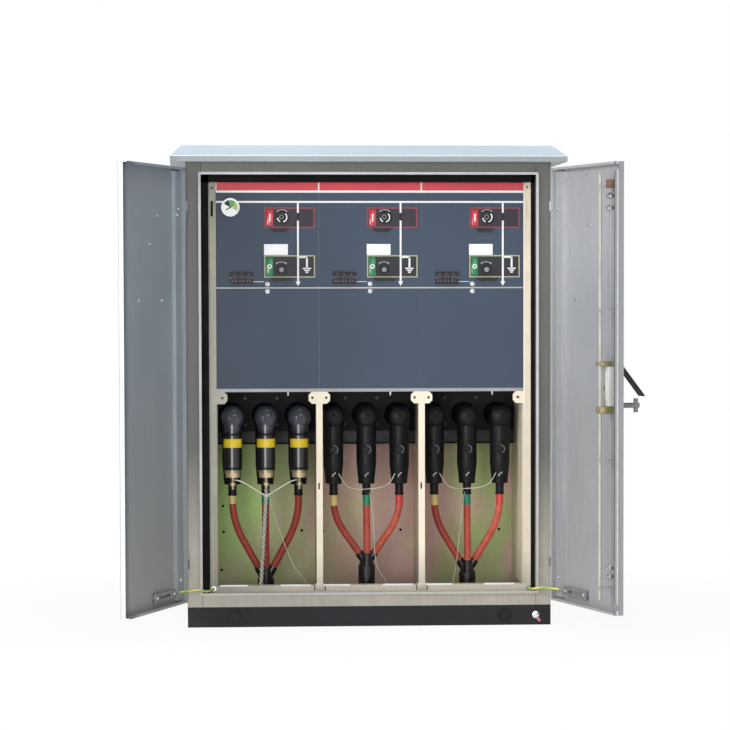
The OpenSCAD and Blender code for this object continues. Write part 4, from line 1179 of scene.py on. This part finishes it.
class SWITCHGEAR_OT_plates(bpy.types.Operator):
    """Fields, indicators, arrows, sockets, tabs and bare labels of the operating plates"""
    bl_idname = "switchgear.plates"
    bl_label = "Operating plates"

    def execute(self, context):
        shown = Shape()
        socket_r, knob_r = (SOCKET_HI.z - SOCKET_LO.z) / 2, (KNOB_HI.z - KNOB_LO.z) / 2
        cap = profile((0, 0), (8.2, 0), (7.6, 1.6), (0, 2))
        tab_h = 11 * MM
        for k, x in enumerate(MODULES):
            shift = k * PITCH
            self.add_field(shown, PLATE_LO, PLATE_HI, shift, 5 * MM, "switch_field", "closed_mark")
            self.add_field(shown, EARTH_LO, EARTH_HI, shift, 4 * MM, "earth_field", "open_mark")
            socket = (SOCKET_LO.x + socket_r + shift, (SOCKET_LO.z + SOCKET_HI.z) / 2)
            knob = (KNOB_LO.x + knob_r + shift, (KNOB_LO.z + KNOB_HI.z) / 2)
            self.add_socket(shown, socket, socket_r)
            self.add_turn_arrow(shown, socket, socket_r + 6.5 * MM)
            self.add_turn_arrow(shown, knob, knob_r + 8 * MM)
            shown.use("grey_plastic").turned(cap, aim((knob[0], KNOB_LO.y + 0.2 * MM, knob[1]), FORWARD), 28)
            shown.use("black_plastic")
            for start, stop, taper, z in ((170, 233, 11, PLATE_LO.z), (168, 249, 12, EARTH_LO.z)):
                shown.plate([(x + start * MM, z), (x + stop * MM, z), (x + (stop - taper) * MM, z - tab_h),
                             (x + (start + taper) * MM, z - tab_h)], FACE_Y - 7 * MM, FACE_Y)
            shown.use("paper").block((x + 151.7 * MM, FACE_Y - 1 * MM, EARTH_HI.z + 0.6 * MM),
                                     (x + 227 * MM, FACE_Y, EARTH_HI.z + 35 * MM), 0.3 * MM)
        shown.piece("operating_plates", "cabinet")
        return {"FINISHED"}

    @staticmethod
    def add_field(shown, low, high, shift, rim, ground, mark):
        """Dark field of a plate, with its raised indicator and a bar or a ring on that"""
        width = 0.495 * PITCH
        x0 = low.x + shift
        shown.use(ground).block((x0 + rim, FIELD_Y - 0.3 * MM, low.z + rim),
                                (x0 + width - rim, FIELD_Y + 0.3 * MM, high.z - rim))
        shown.use(mark).block((x0 + rim + 2 * MM, FIELD_Y - 3.2 * MM, low.z + rim + 2 * MM),
                              (x0 + rim + 24 * MM, FIELD_Y, high.z - rim - 2 * MM), 1.2 * MM)
        x, z = x0 + rim + 13 * MM, (low.z + high.z) / 2
        front, back = FIELD_Y - 3.5 * MM, FIELD_Y - 3 * MM
        shown.use("paper")
        if mark == "closed_mark":
            shown.block((x - 1.8 * MM, front, z - 12 * MM), (x + 1.8 * MM, back, z + 12 * MM))
        else:
            for start in (0, 180):
                shown.arc((x, z), 4.2 * MM, 7 * MM, start, start + 180, front, back)

    @staticmethod
    def add_socket(shown, centre, radius):
        """Collar, two bright arcs of painted highlight, and inner ring of a switch socket"""
        x, z = centre
        inner, outer = radius + 0.3 * MM, radius + 3.5 * MM
        collar = [(inner, 0), (outer, 0), (outer, 3 * MM), (inner, 4 * MM), (inner, 0)]
        shown.use("black_plastic").turned(collar, aim((x, FIELD_Y, z), FORWARD))
        # Painted highlights: two pale arcs inside the socket
        shown.use("pale_zinc")
        for start, stop in ((-75, 48), (188, 246)):
            shown.arc(centre, radius - 3.8 * MM, radius - 1.2 * MM, start, stop,
                      SOCKET_LO.y - 0.5 * MM, SOCKET_LO.y + 0.4 * MM)
        ring = profile((4.6, 0), (7.2, 0), (7.2, 0.8), (4.6, 0.8), (4.6, 0))
        shown.use("grey_plastic").turned(
            ring, aim((x - 2 * MM, SOCKET_LO.y + 0.2 * MM, z + 1 * MM), FORWARD), 28)

    @staticmethod
    def add_turn_arrow(shown, centre, radius):
        """An arc over a socket with a head at each end"""
        front, start, stop = FIELD_Y - 0.8 * MM, 58, 122
        shown.use("faded_line").arc(centre, radius - 0.9 * MM, radius + 0.9 * MM, start, stop, front, FIELD_Y)
        for end, ahead in ((start, start - 90), (stop, stop + 90)):
            turn, along = math.radians(end), math.radians(ahead)
            tip = (centre[0] + radius * math.cos(turn), centre[1] + radius * math.sin(turn))
            way, side = (math.cos(along), math.sin(along)), (-math.sin(along), math.cos(along))
            head = [(tip[0] + toward[0] * reach, tip[1] + toward[1] * reach)
                    for toward, reach in ((way, 5 * MM), (side, 3 * MM), (side, -3 * MM))]
            shown.plate(head, front, FIELD_Y)


class SWITCHGEAR_OT_gauge(bpy.types.Operator):
    """Dial, sectors and pointer of the pressure gauge, and the lamps of the voltage indicators"""
    bl_idname = "switchgear.gauge"
    bl_label = "Gauge and indicators"

    def execute(self, context):
        self.add_dial()
        face, block_w, screw_z = BLOCK_LO.y, 0.225 * PITCH, BLOCK_LO.z + 20 * MM
        windows = Shape().use("switch_field")
        spots = []
        for k in range(3):
            x0 = BLOCK_LO.x + k * PITCH
            for column in range(3):
                u0 = x0 + (4 + column * 22.5) * MM
                windows.block((u0, face - 0.8 * MM, BLOCK_LO.z + 4 * MM),
                              (u0 + 20 * MM, face + 0.2 * MM, BLOCK_HI.z - 4 * MM), 0.5 * MM)
                for dx, dz in ((5, 9), (15, 9), (5, 22), (15, 22), (10, 30)):
                    lamp = (u0 + dx * MM, face - 0.6 * MM, BLOCK_LO.z + dz * MM)
                    spots.append((lamp, FORWARD, 1.7 * MM))
            for x in (x0 + 1.5 * MM, x0 + block_w - 1.8 * MM):
                spots.append(((x, face + 0.2 * MM, screw_z), FORWARD, 2.2 * MM))
        windows.piece("indicator_windows", "cabinet")
        fasten("indicator_lamps", "cabinet", "tap_highlight_and_lamp", spots, "pan", 1.2)
        return {"FINISHED"}

    @staticmethod
    def add_dial():
        """White dial with three sectors, thirteen ticks and a pointer"""
        middle = Vector(((GAUGE_LO.x + GAUGE_HI.x) / 2, (GAUGE_LO.z + GAUGE_HI.z) / 2))
        floor_y = FACE_Y - 10 * MM
        front = floor_y - 0.5 * MM
        dial = Shape().use("paper")
        dial.turned(disc(24.6 * MM, 0.6 * MM), aim((middle.x, floor_y, middle.y), FORWARD), 48)
        for name, start, stop, inner in (("black_plastic", 104, 152, 4), ("dial_green", 42, 104, 3),
                                         ("dial_amber", -28, 42, 8)):
            dial.use(name).arc(middle, inner * MM, 22.5 * MM, start, stop, floor_y - 1 * MM, front, 14)
        dial.use("black_plastic")

        def needle(degrees, points, near, far):
            """A flat shape along a direction of the dial, from reaches along and across it"""
            way = Vector((math.cos(math.radians(degrees)), math.sin(math.radians(degrees))))
            side = Vector((-way.y, way.x))
            dial.plate([tuple(middle + way * along + side * across) for along, across in points], near, far)

        tick = profile((22.6, -0.45), (24.2, -0.45), (24.2, 0.45), (22.6, 0.45))
        for k in range(13):
            needle(-30 + 20 * k, tick, floor_y - 0.9 * MM, front)
        pointer = profile((21, 0), (0, 1.8), (-17, 1.2), (-17, -1.2), (0, -1.8))
        needle(32, pointer, floor_y - 2 * MM, floor_y - 1.3 * MM)
        hub = profile((0, 0), (3, 0), (2.6, 2), (0, 2.4))
        dial.turned(hub, aim((middle.x, front, middle.y), FORWARD), 20)
        dial.piece("gauge_dial", "cabinet")


class SWITCHGEAR_OT_fasteners(bpy.types.Operator):
    """Screws, nuts and studs of the cabinet and of both doors"""
    bl_idname = "switchgear.fasteners"
    bl_label = "Fasteners"

    def execute(self, context):
        trim = context.scene.switchgear_trim
        screws = [((x + 162 * MM, FACE_Y, z), FORWARD, trim.screw)
                  for x in MODULES for z in (TOP_Z - 294 * MM, JOINT_Z - 14 * MM)]
        fasten("panel_screws", "cabinet", "pale_zinc", screws, "pan", 1.15)
        nuts = [((x + dx * MM, TANK_LO.y, z * MM), FORWARD, 3.6 * MM)
                for x in PLUGS for dx in (-61, 42) for z in (626, 712)]
        fasten("tank_nuts", "cabinet", "dull_zinc", nuts, "hex")
        nuts = [((x, FACE_Y, STRIP_LO.z - 19 * MM), FORWARD, 3.4 * MM)
                for x in (MODULES[0] + 18 * MM, UNIT_RIGHT - 18 * MM)]
        fasten("frame_nuts", "cabinet", "dull_zinc", nuts, "hex")
        self.fasten_door(trim, -1, "left_leaf", "left_door",
                         studs=((217, 1290), (291, 1203), (393, 1030), (174, 1030)),
                         bolts=((57, 1297), (46, 1316), (42, 154)))
        self.fasten_door(trim, 1, "right_leaf", "right_door",
                         studs=((96, 1405), (277, 1413), (96, 1262), (291, 1261), (287, 1207), (168, 1033)),
                         bolts=((40, 1316), (44, 1296), (46, 154)))
        return {"FINISHED"}

    @staticmethod
    def fasten_door(trim, side, body, name, studs, bolts):
        """Studs on a door's skin, and low bolts on its stiffener and its stay"""
        inward = leaf_way(side, 0, 1, 0)
        stay_y, stay_z, stay_bolts = -9.8, 117, (106, 271)
        spots = [(on_leaf(side, x, INNER_SKIN, z), inward, trim.stud) for x, z in studs]
        fasten(name + "_studs", body, "bright_zinc", spots, "hex")
        spots = [(on_leaf(side, x, STIFFENER, z), inward, 5 * MM) for x, z in bolts]
        spots += [(on_leaf(side, x, stay_y, stay_z), inward, 4.4 * MM) for x in stay_bolts]
        fasten(name + "_bolts", body, "bright_zinc", spots, "pan")


class SWITCHGEAR_OT_terminations(bpy.types.Operator):
    """Caps, rings, bands and bare sleeves of the plugs, arresters and cores"""
    bl_idname = "switchgear.terminations"
    bl_label = "Terminations"

    def execute(self, context):
        trim = context.scene.switchgear_trim

        def ring(place, inner, outer, low, high, lip, steps=36):
            """A collar with a rounded upper and lower edge, in millimetres"""
            wall = ((outer, low + lip), (outer, high - lip))
            collar = profile((inner, low), *wall, (inner, high), (inner, low))
            caps.turned(collar, place, steps)

        caps = Shape()
        crown_cap = profile((0, 0), (8.5, 0), (8, 2.6), (5, 4.6), (0, 5.2))
        for bay, x in enumerate(PLUGS):
            for phase in (-1, 0, 1):
                px = x + phase * PHASE
                front = ARRESTER_LO.y if bay == 0 else PLUG_LO.y
                crown = aim((px, front + 1.2 * MM, PLUG_Z), FORWARD)
                # The first bay's crown caps take the painted highlight
                caps.use("dome_highlight_rubber" if bay == 0 else "black_rubber").turned(crown_cap, crown, 28)
                caps.use("black_rubber")
                if bay == 0:
                    ring(aim((px, front + 25.9 * MM, PLUG_Z), FORWARD), 36.5, 38.4, -6, 2, 1.5, 44)
                else:
                    ring(crown, 17, 18.6, -5.4, -2.6, 1)
                    tap = aim((px, LEG_Y - 37 * MM, NECK_Z + 148 * MM), FORWARD)
                    ring(tap, 11.5, 15, -5, 2, 1.2, 30)
                    ring(tap, 0, 5.4, -1, 3.6, 1, 20)
                    # Painted highlight: a pale arc on the right of each test tap's ring
                    caps.use("tap_highlight_and_lamp")
                    caps.arc((px, tap.translation.z), 11.8 * MM, 13.4 * MM, -70, 95,
                             tap.translation.y - 2.4 * MM, tap.translation.y - 1.2 * MM)
                    caps.use("black_rubber")
                leg = aim((px, LEG_Y, NECK_Z), UP)
                ring(leg, 25, 27, 37.5, 44, 1.5)
                ring(leg, 12.9, 14.9, 1, 8, 1.5, 30)
                ring(leg, 31.6, 33.2, 168, 176, 1.5)
        for phase in (-1, 0, 1):
            body = aim((PLUGS[0] + phase * PHASE, ARRESTER_Y, END_HI.z), UP)
            caps.use("black_rubber")
            ring(body, 28.4, 30, 3, 9, 1.5)
            ring(body, 28.4, 30, 110, 118, 1.5)
            caps.use("yellow_band")
            ring(body, 28.6, 29.4, 72, 100, 0.3, 44)
            caps.use("brass")
            ring(body, 22, 26.6, -9, -0.3, 1)
        caps.piece("termination_caps", "cabinet")

        bands = Shape()
        for bay, last in enumerate((None, "red_band", "red_band")):
            length = trim.band_l * (0.76 if bay == 0 else 1.0)
            for phase, tint in ((-1, "gold_band"), (0, "green_band"), (1, last)):
                if tint:
                    route = first_part(core_route(bay, phase), length)
                    bands.use(tint).tube(route, CORE_R + 0.8 * MM, 24)
        bands.piece("phase_bands", "cabinet")
        return {"FINISHED"}


class SWITCHGEAR_OT_wires(bpy.types.Operator):
    """Braided earth strap and the tinned wires of the arresters, screens and drains"""
    bl_idname = "switchgear.wires"
    bl_label = "Braid and wires"

    def execute(self, context):
        trim = context.scene.switchgear_trim
        reach = STRAP_HI.x - STRAP_LO.x - 10 * MM
        route = [(STRAP_LO.x + 5 * MM + d, ARRESTER_Y, z)
                 for d, z in stepped(reach, STRAP_HI.z, STRAP_LO.z, 6)]
        mesh = bpy.data.meshes.new("braid_route")
        mesh.from_pydata(route, [(k, k + 1) for k in range(len(route) - 1)], [])
        braid = grow("earth_braid", mesh, braid_tree(), {
            "Finish": finish("tinned_braid"), "Strand radius": trim.strand, "Lay": trim.lay}, "cabinet", 60)
        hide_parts("earth_strap")

        tie_z, phase_x = END_LO.z, PHASE / MM
        ties = Shape().use("tinned_wire")
        for side in (-1, 1):
            points = [(phase_x - 6.4, 0, 30), (phase_x - 16, -4, 29), (phase_x - 34, -5, 22), (42, -4, 4),
                      (18, -3, -11), (7, -3, -18)]
            way = [(PLUGS[0] + side * x * MM, ARRESTER_Y + y * MM, tie_z + z * MM) for x, y, z in points]
            ties.tube(curve_through(way, 8), trim.wire_r, 10)
        knot_r, knot_tilt = 7.4 * MM, 1.2 * MM
        turns = [math.pi * k / 12 for k in range(25)]
        for lift in (-3, 0.5, 4):
            knot = [(PLUGS[0] - 0.6 * MM + knot_r * math.cos(a), ARRESTER_Y + knot_r * math.sin(a),
                     tie_z + (lift - 19) * MM + knot_tilt * math.sin(a)) for a in turns]
            ties.tube(knot, trim.wire_r * 0.8, 8)
        self.dress(ties.piece("arrester_ties", "cabinet"), "arrester_wires")

        screens = Shape().use("thin_wire")
        seat = 30.7
        near = phase_x - seat * 0.5
        swag = [(-near, -seat * 0.87, 70), (-near + 14, -28, 46), (46 - phase_x, -24, 27), (-28, -19, 19),
                (0, -15.6, 20), (30, -20, 22), (phase_x - 44, -25, 31), (near - 12, -28, 48),
                (near, -seat * 0.87, 70)]
        hook = [(-4, -31.5, 60), (-5, -32.5, 64), (-2, -33, 68), (2, -33, 70), (5, -32, 74)]

        def hang(shape, x, height, points, steps, radius):
            """A wire through points in millimetres from a leg's axis and a height"""
            way = [(x + a * MM, LEG_Y + b * MM, height + c * MM) for a, b, c in points]
            shape.tube(curve_through(way, steps), radius, 8)

        for x in PLUGS[1:]:
            hang(screens, x, NECK_Z, swag, 8, trim.wire_r * 0.62)
            for phase in (-1, 0, 1):
                hang(screens, x + phase * PHASE, NECK_Z, hook, 5, trim.wire_r * 0.66)
        self.dress(screens.piece("screen_ties", "cabinet"), "screen_wires")

        drains = Shape().use("thin_wire")
        neck = (NECK_Z - UNIT_Z) / MM
        ways = ((1, 30, 84, 128), (1, 20, 28, 60), (-1, 20, 38, 48))
        for x, (side, upper, middle, lower) in zip(PLUGS, ways):
            points = [(9, -12.4, neck + 8), (upper, -24, neck - 70), (middle, -40, 0.18 * BAY_H / MM),
                      (lower, -40, 60), (lower + 2, -40, 0.4)]
            hang(drains, x, UNIT_Z, [(side * a, b, c) for a, b, c in points], 10, trim.wire_r * 0.5)
        self.dress(drains.piece("drain_ties", "cabinet"), "drain_wires")
        return {"FINISHED"}

    @staticmethod
    def dress(piece, node):
        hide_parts(node)


class SWITCHGEAR_OT_leads(bpy.types.Operator):
    """Earth leads from each door to the frame, and their lugs"""
    bl_idname = "switchgear.leads"
    bl_label = "Earth leads"

    def execute(self, context):
        level, sides = SILL_HI.z + 8 * MM, 12
        for side, body, node in ((-1, "left_leaf", "left_earth_lead"), (1, "right_leaf", "right_earth_lead")):
            stud = on_leaf(side, 60, -7, level / MM)
            knee = Vector((side * (-JAMB_HI.x - 10 * MM), JAMB_LO.y - 21 * MM, level))
            post_x = POST_LO.x if side < 0 else POST_HI.x
            foot = Vector((post_x - side * 11.75 * MM, FACE_Y - 3 * MM, level))
            middle = (stud + knee) / 2 + Vector((0, 0, 5 * MM))
            route = curve_through([stud, middle, knee, (knee + foot) / 2 + Vector((0, 0, -2 * MM)), foot], 10)
            lead = Shape().use("lead_jacket").tube(route, 3.5 * MM, sides)
            lead = lead.piece(node + "_jacket", body, rides=False)
            stripe = lead.data.attributes.new("stripe", "FLOAT", "POINT")
            for k in range(len(lead.data.vertices)):
                stripe.data[k].value = abs(math.cos(2 * math.pi * (k % sides) / sides + (k // sides) * 0.22))
            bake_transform(lead)
            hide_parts(node)
            seat = aim(on_leaf(side, 64, STIFFENER, level / MM), leaf_way(side, 0, 1, 0))
            self.add_lug(seat, body + "_lug", body)
            self.add_lug(aim((foot.x, FACE_Y, level), FORWARD), node + "_foot_lug", "cabinet")
        return {"FINISHED"}

    @staticmethod
    def add_lug(place, name, body):
        """An eye with a hex head on it"""
        lug = Shape().use("bright_zinc")
        lug.turned(profile((4, 0), (7.5, 0), (7.5, 1.6), (4, 1.6), (4, 0)), place, 24)
        lug.turned(profile((0, 0), (3.6, 0), (3.6, 5), (0, 6)), place, 6)
        lug.piece(name, body)


class SWITCHGEAR_OT_lock_trim(bpy.types.Operator):
    """Case, cams, sleeve and screws of the lock, and what sits on the free edge of its door"""
    bl_idname = "switchgear.lock_trim"
    bl_label = "Lock trim"

    def execute(self, context):
        side = 1
        place = leaf_place(side)
        box_lo, box_hi, seat = 704, 834, INNER_SKIN + 0.1
        case = Shape(place).use("lock_grey")
        case.block(mm(469, INNER_SKIN, box_lo + 6), mm(525, 6, box_hi - 4), 2 * MM)
        case.block(mm(477, 5, box_lo + 26), mm(517, 8.4, box_hi - 18), 1.2 * MM)
        case.use("black_plastic").block(mm(494, 8, box_lo + 52), mm(500, 8.9, box_lo + 70), 0.4 * MM)
        case = case.piece("lock_case", "right_leaf")
        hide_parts("lock_box")

        lock = Shape(place).use("brass")
        for z0, z1 in ((box_hi - 3, box_hi + 11), (box_lo - 16, box_lo + 5)):
            for x0, x1 in ((478, 488), (506, 516)):
                lock.block(mm(x0, seat, z0), mm(x1, 29, z1), 1.5 * MM)
        rod_lo, rod_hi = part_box("lower_rod")[1].z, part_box("upper_rod")[0].z
        sleeve_r, cover = 5.5 * MM, 40 * MM
        low, high = rod_lo - cover, rod_hi + cover
        lock.use("rod_coat").turned([(0, low), (sleeve_r, low), (sleeve_r, high), (0, high)],
                                    Matrix.Translation(mm(ROD_X, ROD_Y, 0)), 20)
        lock.use("rust_paint").block(mm(530, seat, 1366), mm(550, 17, 1392), 1 * MM)
        lock.use("zinc")
        for z in EDGE_BOLTS:
            lock.turned(disc(6 * MM, 30 * MM), aim(mm(EDGE_BOLT_X, INNER_SKIN, z), (0, 1, 0)), 20)
        door_lo, door_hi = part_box("right_door")
        lock.use("pale_zinc")
        for z0, z1 in ((door_lo.z + 1 * MM, SEAL_LO.z - 6 * MM), (SEAL_LO.z + 14 * MM, SEAL_HI.z - 14 * MM),
                       (SEAL_HI.z + 6 * MM, door_hi.z - 1 * MM)):
            lock.block((*mm(FREE_EDGE - 0.2, -7), z0), (*mm(FREE_EDGE + 0.2, -3.4), z1))
        lock.piece("lock_fittings", "right_leaf")

        inward = leaf_way(side, 0, 1, 0)
        fasten("lock_screws", "right_leaf", "zinc", [
            (on_leaf(side, ROD_X, 8.4, z), inward, 2.6 * MM) for z in (736, 806)], "pan")
        fasten("edge_bolts", "right_leaf", "bright_zinc", [
            (on_leaf(side, EDGE_BOLT_X, 6, z), inward, 8.5 * MM) for z in EDGE_BOLTS], "hex", 1.35, 1.0)
        return {"FINISHED"}


class SWITCHGEAR_OT_stage(bpy.types.Operator):
    """Pale floor, soft lamps and the camera"""
    bl_idname = "switchgear.stage"
    bl_label = "Stage"

    def execute(self, context):
        scene = context.scene
        studio = scene.switchgear_studio
        scene.view_settings.view_transform = "Standard"
        self.add_floor(studio)
        scene.world = self.mix_world(studio)
        self.add_lamps(studio)
        scene.camera = self.add_camera()
        return {"FINISHED"}

    @staticmethod
    def add_floor(studio):
        """Floor that the camera sees as white, with a faint shade near the cabinet"""
        material = bpy.data.materials.new("stage_floor")
        material.use_nodes = True
        tree = material.node_tree
        tree.nodes.clear()
        matte = add(tree, "ShaderNodeBsdfDiffuse", {"Color": studio.floor})
        glow = add(tree, "ShaderNodeEmission", {"Color": (1, 1, 1), "Strength": 1.0})
        rays = tree.nodes.new("ShaderNodeLightPath")
        seen = math_node(tree, "MAXIMUM", rays.outputs["Is Camera Ray"], rays.outputs["Is Glossy Ray"])
        seen = math_node(tree, "MAXIMUM", seen, rays.outputs["Is Transmission Ray"])
        far = add(tree, "ShaderNodeVectorMath", operation="LENGTH")
        tree.links.new(place_of(tree), far.inputs[0])
        share = remap(tree, far.outputs["Value"], 0.8, 2.0, 0.91, 1.0)
        blend = add(tree, "ShaderNodeMixShader", {"Fac": math_node(tree, "MULTIPLY", seen, share)})
        tree.links.new(matte.outputs[0], blend.inputs[1])
        tree.links.new(glow.outputs[0], blend.inputs[2])
        output = tree.nodes.new("ShaderNodeOutputMaterial")
        tree.links.new(blend.outputs[0], output.inputs[0])
        part = bmesh.new()
        bmesh.ops.create_circle(part, cap_ends=True, segments=64, radius=60)
        mesh = bpy.data.meshes.new("stage_floor")
        part.to_mesh(mesh)
        part.free()
        mesh.materials.append(material)
        floor = link_object("stage_floor", mesh)
        floor.location.z = CAD_BOX[0].z - 0.5 * MM

    @staticmethod
    def mix_world(studio):
        """White behind the cabinet, and a softer light from all round"""
        world = bpy.data.worlds.new("studio")
        world.use_nodes = True
        tree = world.node_tree
        tree.nodes.clear()
        rays = tree.nodes.new("ShaderNodeLightPath")
        seen = math_node(tree, "MAXIMUM", rays.outputs["Is Camera Ray"], rays.outputs["Is Transmission Ray"])
        soft = add(tree, "ShaderNodeBackground", {"Color": (0.96, 0.98, 1.0), "Strength": studio.ambient})
        white = add(tree, "ShaderNodeBackground", {"Color": (1, 1, 1), "Strength": 1.0})
        blend = add(tree, "ShaderNodeMixShader", {"Fac": seen})
        tree.links.new(soft.outputs[0], blend.inputs[1])
        tree.links.new(white.outputs[0], blend.inputs[2])
        output = tree.nodes.new("ShaderNodeOutputWorld")
        tree.links.new(blend.outputs[0], output.inputs[0])
        return world

    @staticmethod
    def add_lamps(studio):
        """Round lamps turned to the middle of the doorway"""
        target = Vector((0, -0.5, 0.8))
        for name, place, width, watts in (("key_lamp", (-5.6, -4.2, 3.4), 2.6, studio.key),
                                          ("top_lamp", (0.3, -1.4, 5.2), 3.6, studio.top),
                                          ("front_lamp", (1.2, -7.5, 1.9), 3.0, studio.front),
                                          ("low_lamp", (-1.1, -4.6, 0.45), 1.6, studio.low)):
            lamp = bpy.data.lights.new(name, "AREA")
            lamp.shape, lamp.size, lamp.energy = "DISK", width, watts
            lamp_object = link_object(name, lamp)
            lamp_object.location = place
            lamp_object.rotation_mode = "QUATERNION"
            lamp_object.rotation_quaternion = (target - Vector(place)).to_track_quat("-Z", "Y")

    @staticmethod
    def add_camera():
        """Camera at its eye point, turned by yaw, pitch and roll, with a shifted lens"""
        eye = Vector((-0.5828, -10.8959, 1.0510))
        yaw, pitch, roll = 0.0715, 0.0544, -0.0017
        ahead = Vector((math.sin(yaw) * math.cos(pitch), math.cos(yaw) * math.cos(pitch), -math.sin(pitch)))
        right = Vector((math.cos(yaw), -math.sin(yaw), 0))
        up = right.cross(ahead)
        across = right * math.cos(roll) + up * math.sin(roll)
        upright = up * math.cos(roll) - right * math.sin(roll)
        lens = bpy.data.cameras.new("camera")
        lens.sensor_width, lens.lens = 36.0, 163.53
        lens.shift_x, lens.shift_y = -0.0778, 0.1496
        lens.clip_end = 200
        camera = link_object("camera", lens)
        turn = Matrix((across, upright, -ahead)).transposed()
        camera.matrix_world = Matrix.Translation(eye) @ turn.to_4x4()
        return camera


OPERATORS = (
    SWITCHGEAR_OT_finishes, SWITCHGEAR_OT_dress, SWITCHGEAR_OT_stage, SWITCHGEAR_OT_cabinet_trim,
    SWITCHGEAR_OT_unit_trim, SWITCHGEAR_OT_mimic, SWITCHGEAR_OT_plates, SWITCHGEAR_OT_gauge,
    SWITCHGEAR_OT_fasteners, SWITCHGEAR_OT_terminations, SWITCHGEAR_OT_wires, SWITCHGEAR_OT_leads,
    SWITCHGEAR_OT_lock_trim,
)
GROUPS = (
    ("switchgear_sheet", SheetColours), ("switchgear_unit", UnitColours), ("switchgear_cable", CableColours),
    ("switchgear_trim", TrimSizes), ("switchgear_studio", StudioSettings),
)


class SWITCHGEAR_PT_parts(bpy.types.Panel):
    """Lists the steps that dress the cabinet"""
    bl_label = "Switchgear cabinet"
    bl_idname = "SWITCHGEAR_PT_parts"
    bl_space_type = "VIEW_3D"
    bl_region_type = "UI"
    bl_category = "Switchgear"

    def draw(self, context):
        for operator in OPERATORS:
            self.layout.operator(operator.bl_idname)
        for name, group in GROUPS:
            values = getattr(context.scene, name)
            column = self.layout.box().column()
            for key in group.__annotations__:
                column.prop(values, key)


def register():
    for name, group in GROUPS:
        bpy.utils.register_class(group)
        setattr(bpy.types.Scene, name, bpy.props.PointerProperty(type=group))
    for operator in OPERATORS:
        bpy.utils.register_class(operator)
    bpy.utils.register_class(SWITCHGEAR_PT_parts)


def unregister():
    bpy.utils.unregister_class(SWITCHGEAR_PT_parts)
    for operator in reversed(OPERATORS):
        bpy.utils.unregister_class(operator)
    for name, group in reversed(GROUPS):
        delattr(bpy.types.Scene, name)
        bpy.utils.unregister_class(group)


def main():
    register()
    for operator in OPERATORS:
        group, name = operator.bl_idname.split(".")
        getattr(getattr(bpy.ops, group), name)()


if __name__ == "__main__":
    main()
